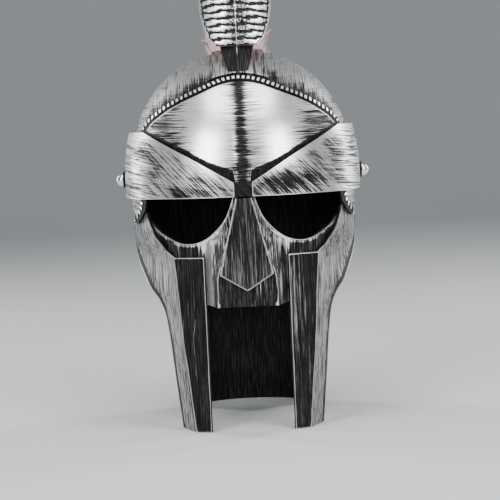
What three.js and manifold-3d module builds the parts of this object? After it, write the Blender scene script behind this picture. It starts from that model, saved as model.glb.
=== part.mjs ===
// Crested helmet with a hinged brow visor, two long cheek guards and a brush plume.
// Millimetres, Z up, the face looks along -Y and the helmet is symmetric about x = 0.
// Heights are measured from the axis of the two visor studs. The last lines lift the whole
// helmet so that its cheek tips and nape guard stand on z = 0.

import * as THREE from 'three';
import { mergeVertices } from 'three/addons/utils/BufferGeometryUtils.js';
import Module from 'manifold-3d';

const wasm = await Module();
wasm.setup();

// Driving sizes of the shell
const STUD_HEIGHT = 193; // stud axis above the ground
const DOME_HALF_WIDTH = 88.5; // outside, at the stud axis
const DOME_RADIUS = 98.5; // outside, about the stud axis in the middle plane
const DOME_REAR = 108; // back of the dome behind the stud axis
const DOME_FULLNESS = 2.2; // 2 is a plain ellipse, more is squarer
const WALL = 2.5; // moulded wall of shell, face plate and cheek guards
const GAP = 0.3; // seam between flat edges that meet
const SEAT = 0.6; // seam between curved skins that lie on each other

// Sizes of the trim on the shell
const BEAD_BREADTH = 4;
const BEAD_RISE = 1.2;
const BEAD_NOTCH = 0.6;
const BEAD_PITCH = 3.9;
const PLATE_WALL = 1.2;
const TONGUE_HALF_WIDTH = 5.8; // foot of the plate's ridge, behind the visor's keystone
const TONGUE_DROP = 3; // its end under the stud axis
const RIDGE_HALF_WIDTH = 6;
const RIDGE_RISE = 0.7;
const KEEL_RISE = 1.4;
const KEEL_FRONT_HALF = 23;
const KEEL_REAR_HALF = 14;
const KEEL_END = 164; // degrees about the stud axis, from the face up

// Sizes of the visor and its studs
const VISOR_LIFT = 2.9; // clear height between dome and visor
const VISOR_WALL = 2.1;
const KEYSTONE_HALF = 6.8;
const KEYSTONE_DEPTH = 1;
const LOBE_REACH = 23.8; // rounded end of the visor behind the stud axis
const LOBE_MARGIN = 1; // over and under the edges of the visor
const SHANK_RADIUS = 2.5;
const SHANK_PLAY = 0.3;
const COLLAR_RADIUS = 6.6;
const COLLAR_THICKNESS = 1.5;
const BALL_RADIUS = 5;
const RIVET_RADIUS = 5.5;
const RIVET_THICKNESS = 1.6;

// Sizes of the face
const CHEEK_INNER_HALF = 32.5; // from the middle plane to a cheek guard's inner edge
const NOSE_FOOT_HALF = 31;
const NOSE_REACH = 18; // nose front ahead of the front of the dome
const LIP_DROP = 94; // lower edge of the lip plate under the stud axis
const BROW_DROP = 9; // lower edge of the shell over the eyes
const FACE_WRAP = 0.74; // share of the side that the face plate runs back behind the cheek guard
const NASAL_WALL = 3;
const NASAL_TOP_HALF = 6.2;
const NASAL_HALF_WIDTH = 20.4;
const NASAL_TOP_DROP = 12.8;
const NASAL_CORNER_DROP = 69.3;
const NASAL_TIP_DROP = 81.6;

// Sizes of the crest
const SHIELD_LIFT = 4.5; // lower edge above the top of the dome
const SHIELD_HEIGHT = 60;
const SHIELD_HALF_WIDTH = 28;
const SHIELD_AHEAD = 18; // front of its lower edge ahead of the plume's backing strip
const SHIELD_LEAN = 6;
const SHIELD_BOW = 9;
const SHIELD_WALL = 3;
const SHIELD_RIBS = 11;
const RIB_RISE = 1;
const STEM_TOP_HALF = 13.3;
const STEM_FOOT_HALF = 8;
const STEM_DEPTH = 9;
const PLUME_LENGTH = 74;
const PLUME_START = 74; // degrees about the stud axis, at its front root
const PLUME_END = 158; // degrees
const PLUME_FRONT_LEAN = 93; // degrees, 90 stands upright
const PLUME_REAR_LEAN = 165; // degrees
const PLUME_ROOT_HALF = 10;
const PLUME_HALF_WIDTH = 28;
const PLUME_ROWS = 9;
const BACKING_THICKNESS = 5;

// Lower wall: drop as a share of STUD_HEIGHT, width of DOME_HALF_WIDTH, rear of DOME_REAR
const NECK = [
  { drop: 0.00, width: 1.000, rear: 1.000 },
  { drop: 0.18, width: 1.000, rear: 0.995 },
  { drop: 0.30, width: 0.985, rear: 0.965 },
  { drop: 0.38, width: 0.935, rear: 0.920 },
  { drop: 0.47, width: 0.850, rear: 0.855 },
  { drop: 0.58, width: 0.765, rear: 0.785 },
  { drop: 0.72, width: 0.725, rear: 0.745 },
  { drop: 0.87, width: 0.725, rear: 0.765 },
  { drop: 1.00, width: 0.745, rear: 0.840 },
];

// Face sections: drop of STUD_HEIGHT, x of DOME_HALF_WIDTH, y of DOME_RADIUS.
// Each runs from the middle over the fold of the cheek guard to its rear edge.
// crease is 0 for one round curve and 1 for two flat faces that meet at the fold.
const FACE = [
  { drop: -0.04, front: 1.000, foldX: 0.655, foldY: 0.792, rearX: 0.999, rearY: -0.058, crease: 0.0 },
  { drop: 0.19, front: 1.000, foldX: 0.655, foldY: 0.792, rearX: 0.999, rearY: -0.058, crease: 0.0 },
  { drop: 0.24, front: 1.006, foldX: 0.645, foldY: 0.800, rearX: 0.998, rearY: -0.058, crease: 0.2 },
  { drop: 0.285, front: 1.022, foldX: 0.634, foldY: 0.815, rearX: 0.992, rearY: -0.040, crease: 0.6 },
  { drop: 0.34, front: 1.045, foldX: 0.624, foldY: 0.825, rearX: 0.960, rearY: 0.115, crease: 0.9 },
  { drop: 0.38, front: 1.055, foldX: 0.617, foldY: 0.832, rearX: 0.921, rearY: 0.240, crease: 1.0 },
  { drop: 0.43, front: 1.056, foldX: 0.608, foldY: 0.838, rearX: 0.870, rearY: 0.360, crease: 1.0 },
  { drop: 0.48, front: 1.056, foldX: 0.600, foldY: 0.842, rearX: 0.785, rearY: 0.480, crease: 1.0 },
  { drop: 0.535, front: 1.056, foldX: 0.594, foldY: 0.845, rearX: 0.737, rearY: 0.530, crease: 1.0 },
  { drop: 0.63, front: 1.056, foldX: 0.580, foldY: 0.848, rearX: 0.706, rearY: 0.550, crease: 1.0 },
  { drop: 0.79, front: 1.052, foldX: 0.545, foldY: 0.853, rearX: 0.672, rearY: 0.568, crease: 1.0 },
  { drop: 1.00, front: 1.046, foldX: 0.502, foldY: 0.863, rearX: 0.625, rearY: 0.590, crease: 1.0 },
];

// Nose: drop of LIP_DROP, face and foot half widths of NOSE_FOOT_HALF, depth of noseDepth
const NOSE = [
  { drop: -0.06, face: 0.17, foot: 0.22, depth: 0.000 },
  { drop: 0.105, face: 0.17, foot: 0.22, depth: 0.000 },
  { drop: 0.135, face: 0.18, foot: 0.25, depth: 0.862 },
  { drop: 0.29, face: 0.28, foot: 0.43, depth: 0.894 },
  { drop: 0.42, face: 0.40, foot: 0.68, depth: 0.926 },
  { drop: 0.50, face: 0.48, foot: 0.97, depth: 0.945 },
  { drop: 0.64, face: 0.61, foot: 1.00, depth: 0.974 },
  { drop: 0.78, face: 0.72, foot: 1.00, depth: 1.000 },
  { drop: 1.00, face: 0.74, foot: 1.00, depth: 0.992 },
];

// Outlines seen from the front, x of DOME_HALF_WIDTH, height of DOME_RADIUS
const ARCH = [
  { across: 0.000, up: 0.796 },
  { across: 0.158, up: 0.772 },
  { across: 0.350, up: 0.706 },
  { across: 0.525, up: 0.638 },
  { across: 0.703, up: 0.545 },
  { across: 0.850, up: 0.419 },
  { across: 0.905, up: 0.220 },
  { across: 0.905, up: 0.020 },
  { across: 0.885, up: -0.110 },
  { across: 0.897, up: -0.203 },
  { across: 0.934, up: -0.272 },
  { across: 0.977, up: -0.318 },
];
const PLATE_LOWER_EDGE = [
  { across: 0.077, up: 0.061 },
  { across: 0.294, up: 0.145 },
  { across: 0.565, up: 0.274 },
  { across: 0.825, up: 0.386 },
];
const VISOR_TOP_EDGE = [
  { across: 0.000, up: -0.007 },
  { across: 0.077, up: -0.007 },
  { across: 0.460, up: 0.198 },
  { across: 0.853, up: 0.392 },
  { across: 0.930, up: 0.392 },
  { across: 1.100, up: 0.372 },
];
const VISOR_LOWER_EDGE = [
  { across: 0.000, up: -0.115 },
  { across: 0.650, up: -0.120 },
  { across: 1.100, up: -0.134 },
];

// Eye opening and ear tab seen from the front, x of DOME_HALF_WIDTH, drop of STUD_HEIGHT
const EYE = [
  { across: 0.086, drop: 0.067 },
  { across: 0.169, drop: 0.148 },
  { across: 0.271, drop: 0.202 },
  { across: 0.380, drop: 0.235 },
  { across: 0.511, drop: 0.246 },
  { across: 0.637, drop: 0.2285 },
  { across: 0.768, drop: 0.1886 },
  { across: 0.875, drop: 0.1228 },
  { across: 0.893, drop: 0.067 },
];
const EYE_TOP = 0.042; // drop of the straight upper edge
const EAR_TAB = [
  { across: 0.860, drop: 0.047 },
  { across: 0.862, drop: 0.073 },
  { across: 0.873, drop: 0.109 },
  { across: 0.912, drop: 0.145 },
  { across: 0.960, drop: 0.173 },
  { across: 1.040, drop: 0.187 },
];
const CHEEK_TOP = [
  { across: 0.200, drop: 0.298 },
  { across: 0.617, drop: 0.299 },
  { across: 0.696, drop: 0.2725 },
  { across: 0.799, drop: 0.213 },
  { across: 0.862, drop: 0.137 },
  { across: 0.868, drop: 0.060 },
];

// Free edge of ear tab and nape guard seen from the side, y of DOME_REAR, drop of STUD_HEIGHT
const NAPE_EDGE = [
  { back: 0.056, drop: 0.187 },
  { back: 0.056, drop: 0.300 },
  { back: 0.110, drop: 0.372 },
  { back: 0.260, drop: 0.475 },
  { back: 0.390, drop: 0.570 },
  { back: 0.455, drop: 0.700 },
  { back: 0.480, drop: 0.855 },
  { back: 0.490, drop: 1.000 },
];

// Crest shield: rise of SHIELD_HEIGHT, half width of SHIELD_HALF_WIDTH
const SHIELD = [
  { rise: 0.00, half: 0.60 },
  { rise: 0.10, half: 0.77 },
  { rise: 0.27, half: 0.91 },
  { rise: 0.45, half: 0.99 },
  { rise: 0.62, half: 1.00 },
  { rise: 0.78, half: 0.91 },
  { rise: 0.90, half: 0.70 },
  { rise: 0.97, half: 0.42 },
  { rise: 1.00, half: 0.16 },
];

const degrees = THREE.MathUtils.degToRad;
const lerp = THREE.MathUtils.lerp;

// Value of one column of a table at a place along its key column, on a smooth curve
function readTable(rows, key, column, at) {
  const last = rows.length - 1;
  const place = THREE.MathUtils.clamp(at, rows[0][key], rows[last][key]);
  let i = 0;
  while (i < last - 1 && rows[i + 1][key] < place) i += 1;
  const slope = (a, b) => (rows[b][column] - rows[a][column]) / (rows[b][key] - rows[a][key]);
  const step = rows[i + 1][key] - rows[i][key];
  const inner = slope(i, i + 1);
  const blend = (a, b) => (a * b > 0 ? (2 * a * b) / (a + b) : 0);
  const before = i > 0 ? blend(slope(i - 1, i), inner) : inner;
  const after = i + 1 < last ? blend(inner, slope(i + 1, i + 2)) : inner;
  const t = (place - rows[i][key]) / step;
  const h00 = (1 + 2 * t) * (1 - t) ** 2;
  const h10 = t * (1 - t) ** 2;
  const h01 = t * t * (3 - 2 * t);
  const h11 = t * t * (t - 1);
  return h00 * rows[i][column] + h10 * step * before + h01 * rows[i + 1][column] + h11 * step * after;
}

// Height of the rounded profile at a share of its half width
function roundProfile(share) {
  const s = Math.min(1, Math.abs(share));
  return (1 - s ** DOME_FULLNESS) ** (1 / DOME_FULLNESS);
}

// Point of the dome skin, grown by offset, at x and height on the face side
function facePoint(x, height, offset) {
  const half = DOME_HALF_WIDTH + offset;
  const radius = (DOME_RADIUS + offset) * roundProfile(x / half);
  const y = height > 0 ? -Math.sqrt(Math.max(0, radius ** 2 - height ** 2)) : -radius;
  return new THREE.Vector3(x, y, height);
}

// Point of the dome and neck skin, grown by offset, at a turn from the face and a height
function hoodPoint(turn, height, offset) {
  const ahead = Math.cos(turn) > 0;
  const drop = Math.max(0, -height) / STUD_HEIGHT;
  const half = DOME_HALF_WIDTH * readTable(NECK, 'drop', 'width', drop) + offset;
  const front = DOME_RADIUS + offset;
  const rear = DOME_REAR * readTable(NECK, 'drop', 'rear', drop) + offset;
  const up = Math.max(0, height);
  const x = half * roundProfile(up / front) * Math.sin(turn);
  const radius = front * roundProfile(x / half);
  const depth = Math.sqrt(Math.max(0, radius ** 2 - up ** 2));
  return new THREE.Vector3(x, ahead ? -depth : (depth * rear) / front, height);
}

// Point of the dome skin at x and an angle about the stud axis: 0 face, 90 crown, 180 back
function crownPoint(x, angle, offset) {
  const radius = (DOME_RADIUS + offset) * roundProfile(x / (DOME_HALF_WIDTH + offset));
  const stretch = angle > Math.PI / 2 ? (DOME_REAR + offset) / (DOME_RADIUS + offset) : 1;
  return new THREE.Vector3(x, -radius * Math.cos(angle) * stretch, radius * Math.sin(angle));
}

function closedGeometry(points, faces) {
  const geometry = new THREE.BufferGeometry();
  geometry.setAttribute('position', new THREE.Float32BufferAttribute(points.flatMap((p) => p.toArray()), 3));
  geometry.setIndex(faces.flat());
  return geometry;
}

function toSolid(geometry) {
  const bare = geometry.clone();
  bare.deleteAttribute('normal');
  bare.deleteAttribute('uv');
  const merged = mergeVertices(bare, 1e-5);
  const vertProperties = Float32Array.from(merged.attributes.position.array);
  const triVerts = Uint32Array.from(merged.index.array);
  return new wasm.Manifold(new wasm.Mesh({ numProp: 3, vertProperties, triVerts }));
}

function toGeometry(solid) {
  const mesh = solid.getMesh();
  const geometry = new THREE.BufferGeometry();
  const count = mesh.vertProperties.length / mesh.numProp;
  const position = new Float32Array(count * 3);
  for (let i = 0; i < count; i += 1) {
    for (let k = 0; k < 3; k += 1) position[i * 3 + k] = mesh.vertProperties[i * mesh.numProp + k];
  }
  geometry.setAttribute('position', new THREE.BufferAttribute(position, 3));
  geometry.setIndex(Array.from(mesh.triVerts));
  return geometry;
}

// Wall between an outer and an inner skin, each given by a function of column and row.
// Seen from outside, columns run to the right and rows run up.
function wall(outer, inner, columns, rows) {
  const points = [];
  for (const skin of [outer, inner]) {
    for (let j = 0; j <= rows; j += 1) {
      for (let i = 0; i <= columns; i += 1) points.push(skin(i / columns, j / rows));
    }
  }
  const layer = (columns + 1) * (rows + 1);
  const at = (i, j, side) => side * layer + j * (columns + 1) + i;
  const faces = [];
  const quad = (a, b, c, d) => faces.push([a, b, c], [a, c, d]);
  for (let j = 0; j < rows; j += 1) {
    for (let i = 0; i < columns; i += 1) {
      quad(at(i, j, 0), at(i + 1, j, 0), at(i + 1, j + 1, 0), at(i, j + 1, 0));
      quad(at(i, j, 1), at(i, j + 1, 1), at(i + 1, j + 1, 1), at(i + 1, j, 1));
    }
  }
  for (let i = 0; i < columns; i += 1) {
    quad(at(i, 0, 1), at(i + 1, 0, 1), at(i + 1, 0, 0), at(i, 0, 0));
    quad(at(i, rows, 0), at(i + 1, rows, 0), at(i + 1, rows, 1), at(i, rows, 1));
  }
  for (let j = 0; j < rows; j += 1) {
    quad(at(0, j, 0), at(0, j + 1, 0), at(0, j + 1, 1), at(0, j, 1));
    quad(at(columns, j, 1), at(columns, j + 1, 1), at(columns, j + 1, 0), at(columns, j, 0));
  }
  return closedGeometry(points, faces);
}

// Closed body through rings of points, lowest ring first, counter-clockwise from above
function stack(rings) {
  const count = rings[0].length;
  const points = rings.flat();
  const faces = [];
  for (let j = 0; j < rings.length - 1; j += 1) {
    for (let i = 0; i < count; i += 1) {
      const next = (i + 1) % count;
      const [a, b] = [j * count + i, j * count + next];
      faces.push([a, b, b + count], [a, b + count, a + count]);
    }
  }
  const middle = (ring) => ring.reduce((sum, p) => sum.add(p), new THREE.Vector3()).divideScalar(count);
  const floor = points.push(middle(rings[0])) - 1;
  const roof = points.push(middle(rings[rings.length - 1])) - 1;
  const top = (rings.length - 1) * count;
  for (let i = 0; i < count; i += 1) {
    const next = (i + 1) % count;
    faces.push([floor, next, i], [roof, top + i, top + next]);
  }
  return closedGeometry(points, faces);
}

// Solid hood filled up to a skin grown by offset, through rings at the given heights
function hoodThrough(levels, offset, around) {
  const ring = (height) => {
    const points = [];
    for (let i = 0; i < around; i += 1) points.push(hoodPoint((2 * Math.PI * i) / around, height, offset));
    return points;
  };
  return toSolid(stack(levels.map(ring)));
}

// Short stretch of the hood between two heights
function hoodBelt(offset, lowest, highest) {
  const rings = 5;
  const around = 48;
  const levels = [];
  for (let j = 0; j <= rings; j += 1) levels.push(lerp(lowest, highest, j / rings));
  return hoodThrough(levels, offset, around);
}

// Full hood down to the ground, with its rings closer together towards the crown
function fullHood(offset, extraDrop) {
  const lowerRings = 8;
  const upperRings = 8;
  const around = 36;
  const crownCap = 0.9994; // the last ring is just under the very top
  const levels = [];
  for (let j = 0; j < lowerRings; j += 1) levels.push(-STUD_HEIGHT * (1 - j / lowerRings));
  if (extraDrop > 0) levels.unshift(-STUD_HEIGHT - extraDrop);
  for (let j = 0; j < upperRings; j += 1) {
    levels.push((DOME_RADIUS + offset) * Math.sin((Math.PI / 2) * (j / upperRings)));
  }
  levels.push((DOME_RADIUS + offset) * crownCap);
  return hoodThrough(levels, offset, around);
}

// Prism with an outline of (x, height) points, from y = near to y = far
function frontPrism(outline, near, far) {
  const geometry = new THREE.ExtrudeGeometry(new THREE.Shape(outline), { depth: far - near, bevelEnabled: false });
  geometry.rotateX(Math.PI / 2);
  geometry.translate(0, far, 0);
  return toSolid(geometry);
}

// Prism with an outline of (y, height) points, across the whole width
function sidePrism(outline) {
  const reach = 2 * DOME_HALF_WIDTH;
  const geometry = new THREE.ExtrudeGeometry(new THREE.Shape(outline), { depth: 2 * reach, bevelEnabled: false });
  geometry.translate(0, 0, -reach);
  const axes = [new THREE.Vector3(0, 1, 0), new THREE.Vector3(0, 0, 1), new THREE.Vector3(1, 0, 0)];
  geometry.applyMatrix4(new THREE.Matrix4().makeBasis(...axes));
  return toSolid(geometry);
}

// Smooth open curve through the rows of an outline table
function curveThrough(rows, toPoint, divisions) {
  return new THREE.SplineCurve(rows.map(toPoint)).getPoints(divisions);
}

const fromArch = (row) => new THREE.Vector2(row.across * DOME_HALF_WIDTH, row.up * DOME_RADIUS);
const fromDrop = (row) => new THREE.Vector2(row.across * DOME_HALF_WIDTH, -row.drop * STUD_HEIGHT);
const mirrored = (points) => points.map((p) => new THREE.Vector2(-p.x, p.y)).reverse();
const flipped = (solid) => solid.scale([-1, 1, 1]);

const FAR = 2 * DOME_REAR; // past every skin
const noseDepth = DOME_RADIUS + NOSE_REACH;
const shieldBase = DOME_RADIUS + SHIELD_LIFT;
const crestSeat = SEAT + KEEL_RISE + SEAT; // skin over the keel that the crest stands on
const shieldFront = (DOME_RADIUS + crestSeat) * Math.cos(degrees(PLUME_START)) + SHIELD_AHEAD;

const helmet = new THREE.Group();
const carrier = new THREE.Group();
carrier.position.z = STUD_HEIGHT;
helmet.add(carrier);

function finish(color, roughness, metalness) {
  return new THREE.MeshStandardMaterial({ color, roughness, metalness });
}

function place(name, geometry, material) {
  const mesh = new THREE.Mesh(geometry, material);
  mesh.name = name;
  carrier.add(mesh);
}

// Bore along the stud axis for both shanks
function shankBore() {
  const bore = new THREE.CylinderGeometry(SHANK_RADIUS + SHANK_PLAY, SHANK_RADIUS + SHANK_PLAY, FAR * 2, 16);
  bore.rotateZ(Math.PI / 2);
  return toSolid(bore);
}

// Region over the ear tab's lower edge, seen from the front, lowered by grow
function tabOutline(grow) {
  const edge = curveThrough(EAR_TAB, fromDrop, 10).map((p) => new THREE.Vector2(p.x - grow, p.y - grow));
  const inner = edge[0].x;
  const outer = edge[edge.length - 1].x;
  return [new THREE.Vector2(inner, FAR), ...edge, new THREE.Vector2(outer, FAR)];
}

// Shell: dome, ear tabs and nape guard
function makeSkullShell() {
  const shell = fullHood(0, 0).subtract(fullHood(-WALL, WALL));
  const nape = NAPE_EDGE.map((row) => new THREE.Vector2(row.back * DOME_REAR, -row.drop * STUD_HEIGHT));
  const belowTab = -EAR_TAB[EAR_TAB.length - 1].drop * STUD_HEIGHT;
  const openSide = sidePrism([
    new THREE.Vector2(-FAR, belowTab),
    ...nape,
    new THREE.Vector2(nape[nape.length - 1].x, -FAR),
    new THREE.Vector2(-FAR, -FAR),
  ]);
  const tab = curveThrough(EAR_TAB, fromDrop, 10);
  const brow = -BROW_DROP;
  const half = tab[0].x;
  const openFace = frontPrism([
    new THREE.Vector2(-half, brow),
    ...mirrored(tab).reverse(),
    ...mirrored([new THREE.Vector2(tab[tab.length - 1].x, -FAR)]),
    new THREE.Vector2(tab[tab.length - 1].x, -FAR),
    ...tab.slice().reverse(),
    new THREE.Vector2(half, brow),
  ], -FAR, NAPE_EDGE[0].back * DOME_REAR);
  return toGeometry(shell.subtract(openSide).subtract(openFace).subtract(shankBore()));
}

// Milled edge: a notched strip that follows the arch and the ear tabs
function makeBeadedEdge() {
  const half = new THREE.SplineCurve(ARCH.map(fromArch));
  const full = new THREE.SplineCurve([...mirrored(half.getPoints(30)), ...half.getPoints(30).slice(1)]);
  const teeth = Math.round(full.getLength() / BEAD_PITCH);
  const skin = (low, high) => (u, v) => {
    const centre = full.getPointAt(u);
    const along = full.getTangentAt(u);
    const side = new THREE.Vector2(-along.y, along.x).multiplyScalar(lerp(-0.5, 0.5, v) * BEAD_BREADTH);
    const crest = Math.round(u * teeth * 2) % 2 === 0 ? high : low;
    const x = THREE.MathUtils.clamp(centre.x + side.x, -DOME_HALF_WIDTH, DOME_HALF_WIDTH);
    return facePoint(x, centre.y + side.y, crest);
  };
  const base = SEAT;
  return wall(skin(base + BEAD_RISE - BEAD_NOTCH, base + BEAD_RISE), skin(base, base), teeth * 2, 1);
}

// Height of the arch at a share of the half width
function archHeight(share) {
  return readTable(ARCH, 'across', 'up', share) * DOME_RADIUS;
}

// Height that the milled edge and its seam take up over and under the arch there
function archMargin(share) {
  const step = 0.01;
  const slope = (archHeight(share + step) - archHeight(share)) / (step * DOME_HALF_WIDTH);
  return (BEAD_BREADTH / 2 + SEAT) * Math.hypot(1, slope);
}

// Forehead plate: leaf shape between the arch and the brow. The ridge in its middle runs down as a
// narrow tongue behind the keystone.
function makeForeheadPlate() {
  const shoulder = PLATE_LOWER_EDGE[0].across * DOME_HALF_WIDTH;
  const tip = PLATE_LOWER_EDGE[PLATE_LOWER_EDGE.length - 1].across * DOME_HALF_WIDTH;
  const spans = 10; // from the tongue's shoulder to the tip
  const stations = [0, TONGUE_HALF_WIDTH / 2, TONGUE_HALF_WIDTH];
  for (let i = 0; i <= spans; i += 1) stations.push(lerp(shoulder, tip, i / spans));
  const columns = 2 * (stations.length - 1);
  const skin = (offset, ridge) => (u, v) => {
    const station = Math.round(u * columns) - columns / 2;
    const x = Math.sign(station) * stations[Math.abs(station)];
    const share = Math.abs(x) / DOME_HALF_WIDTH;
    const high = archHeight(share) - archMargin(share);
    const edge = readTable(PLATE_LOWER_EDGE, 'across', 'up', share) * DOME_RADIUS;
    const low = Math.abs(x) > TONGUE_HALF_WIDTH ? Math.min(edge, high - PLATE_WALL) : -TONGUE_DROP;
    const rise = ridge * Math.max(0, 1 - Math.abs(x) / RIDGE_HALF_WIDTH);
    return facePoint(x, lerp(low, high, v), offset + rise);
  };
  return wall(skin(SEAT + PLATE_WALL, RIDGE_RISE), skin(SEAT, 0), columns, 5);
}

// Visor: a band that follows the dome, cut to the brow line and rounded behind the studs
function makeVisor() {
  const spare = 3 * VISOR_WALL; // of the uncut band over and under the visor's edges
  const lowest = VISOR_LOWER_EDGE[2].up * DOME_RADIUS - spare;
  const highest = VISOR_TOP_EDGE[3].up * DOME_RADIUS + spare;
  const skin = (offset) => hoodBelt(offset, lowest, highest);
  const band = skin(VISOR_LIFT + VISOR_WALL).subtract(skin(VISOR_LIFT));
  const top = VISOR_TOP_EDGE.map(fromArch);
  const low = VISOR_LOWER_EDGE.map(fromArch);
  const outline = [...mirrored(low), ...low.slice(1), ...top.slice().reverse(), ...mirrored(top).reverse().slice(1)];
  const lobeTop = VISOR_TOP_EDGE[5].up * DOME_RADIUS + LOBE_MARGIN;
  const lobeLow = VISOR_LOWER_EDGE[2].up * DOME_RADIUS - LOBE_MARGIN;
  const lobe = new THREE.Shape();
  lobe.moveTo(-FAR, lobeLow - spare);
  lobe.lineTo(0.3 * LOBE_REACH, lobeLow);
  lobe.bezierCurveTo(LOBE_REACH, lobeLow, 1.2 * LOBE_REACH, 0.6 * lobeTop, 0.2 * LOBE_REACH, lobeTop);
  lobe.lineTo(-LOBE_REACH, FAR);
  lobe.lineTo(-FAR, FAR);
  const side = sidePrism(lobe.getPoints(10));
  const keystone = frontPrism([
    new THREE.Vector2(-KEYSTONE_HALF, lowest),
    new THREE.Vector2(KEYSTONE_HALF, lowest),
    new THREE.Vector2(KEYSTONE_HALF, highest),
    new THREE.Vector2(-KEYSTONE_HALF, highest),
  ], -FAR, 0).subtract(skin(VISOR_LIFT + VISOR_WALL - KEYSTONE_DEPTH));
  const cut = band.intersect(frontPrism(outline, -FAR, 1.5 * LOBE_REACH)).intersect(side);
  return toGeometry(cut.subtract(keystone).subtract(shankBore()));
}

// Ball stud: inner rivet head, shank through shell and visor, collar and ball
function makeStud() {
  const inner = DOME_HALF_WIDTH - WALL - SEAT;
  const collar = DOME_HALF_WIDTH + VISOR_LIFT + VISOR_WALL + GAP;
  const ball = collar + COLLAR_THICKNESS + BALL_RADIUS * 0.1;
  const profile = [
    new THREE.Vector2(0, inner - RIVET_THICKNESS),
    new THREE.Vector2(RIVET_RADIUS, inner - RIVET_THICKNESS),
    new THREE.Vector2(RIVET_RADIUS, inner),
    new THREE.Vector2(SHANK_RADIUS, inner),
    new THREE.Vector2(SHANK_RADIUS, collar),
    new THREE.Vector2(COLLAR_RADIUS, collar),
    new THREE.Vector2(COLLAR_RADIUS * 0.9, collar + COLLAR_THICKNESS),
  ];
  for (let i = 0; i <= 4; i += 1) {
    const angle = (Math.PI / 2) * (i / 4);
    profile.push(new THREE.Vector2(BALL_RADIUS * Math.cos(angle), ball + BALL_RADIUS * Math.sin(angle)));
  }
  const stud = new THREE.LatheGeometry(profile, 12);
  stud.rotateZ(-Math.PI / 2);
  return toSolid(stud);
}

// Point of the face skin at x on the front part (fold and forward), set back by inset
function faceSection(height, inset) {
  const drop = -height / STUD_HEIGHT;
  const read = (column) => readTable(FACE, 'drop', column, drop);
  const fold = new THREE.Vector2(
    read('foldX') * DOME_HALF_WIDTH - inset * 0.62,
    -read('foldY') * DOME_RADIUS + inset * 0.78,
  );
  const front = new THREE.Vector2(0, -read('front') * DOME_RADIUS + inset);
  const rear = new THREE.Vector2(read('rearX') * DOME_HALF_WIDTH - inset * 1.12, -read('rearY') * DOME_RADIUS);
  const crease = read('crease');
  const roundFront = new THREE.Vector2(fold.x * 0.63, front.y * 0.985);
  const roundSide = new THREE.Vector2(lerp(rear.x, fold.x, 0.12), fold.y * 0.66);
  const flatFront = front.clone().lerp(fold, 0.5);
  const flatSide = fold.clone().lerp(rear, 0.5);
  return {
    toFold: new THREE.QuadraticBezierCurve(front, roundFront.lerp(flatFront, crease), fold),
    toRear: new THREE.QuadraticBezierCurve(fold, roundSide.lerp(flatSide, crease), rear),
  };
}

// Share along the curve from the middle to the fold where it reaches x
function shareAt(curve, x) {
  const a = curve.v2.x - 2 * curve.v1.x;
  const b = 2 * curve.v1.x;
  return (2 * x) / (b + Math.sqrt(b * b + 4 * a * x));
}

// Point of the face skin: along runs 0 to 1 from x = start to the fold, 1 to 2 on to the rear
function faceSkin(start, along, height, inset) {
  const { toFold, toRear } = faceSection(height, inset);
  const first = shareAt(toFold, start);
  const flat = along <= 1 ? toFold.getPoint(lerp(first, 1, along)) : toRear.getPoint(along - 1);
  return new THREE.Vector3(flat.x, flat.y, height);
}

// Face plate: a wall behind the cheek guards that swells into the nose, with two eye openings
function makeFacePlate() {
  const inset = WALL + SEAT;
  const columns = 24;
  const noseColumns = 3; // on each side of the middle
  const drops = NOSE.flatMap((row, i) => (i > 3 ? [0.5 * (NOSE[i - 1].drop + row.drop), row.drop] : [row.drop]));
  const rows = drops.length - 1;
  const level = (v) => -drops[rows - Math.round(v * rows)] * LIP_DROP;
  const skin = (extra) => (u, v) => {
    const height = level(v);
    const drop = -height / LIP_DROP;
    const side = Math.sign(u - 0.5);
    const step = Math.abs(2 * u - 1) * (columns / 2);
    const faceHalf = readTable(NOSE, 'drop', 'face', drop) * NOSE_FOOT_HALF;
    const footHalf = readTable(NOSE, 'drop', 'foot', drop) * NOSE_FOOT_HALF;
    const depth = readTable(NOSE, 'drop', 'depth', drop) * noseDepth;
    const curve = faceSection(height, inset + extra).toFold;
    if (step < noseColumns) {
      const x = (faceHalf * step) / 2;
      const wide = step > 2 ? lerp(faceHalf, footHalf, step - 2) : x;
      const back = curve.getPoint(shareAt(curve, wide)).y;
      const front = Math.min(back, -(depth - extra));
      const y = step > 2 ? lerp(front, back, step - 2) : front;
      return new THREE.Vector3(side * wide, y, height);
    }
    const along = ((step - noseColumns) / (columns / 2 - noseColumns)) * (1 + FACE_WRAP);
    const p = faceSkin(footHalf, along, height, inset + extra);
    return new THREE.Vector3(side * p.x, p.y, p.z);
  };
  const plate = toSolid(wall(skin(0), skin(WALL), columns, rows));
  const lower = curveThrough(EYE, fromDrop, 26);
  const lid = -EYE_TOP * STUD_HEIGHT;
  const eye = [new THREE.Vector2(lower[0].x, lid), ...lower, new THREE.Vector2(lower[lower.length - 1].x, lid)];
  const hole = frontPrism(eye, -FAR, 0);
  return toGeometry(plate.subtract(hole).subtract(flipped(hole)));
}

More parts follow.
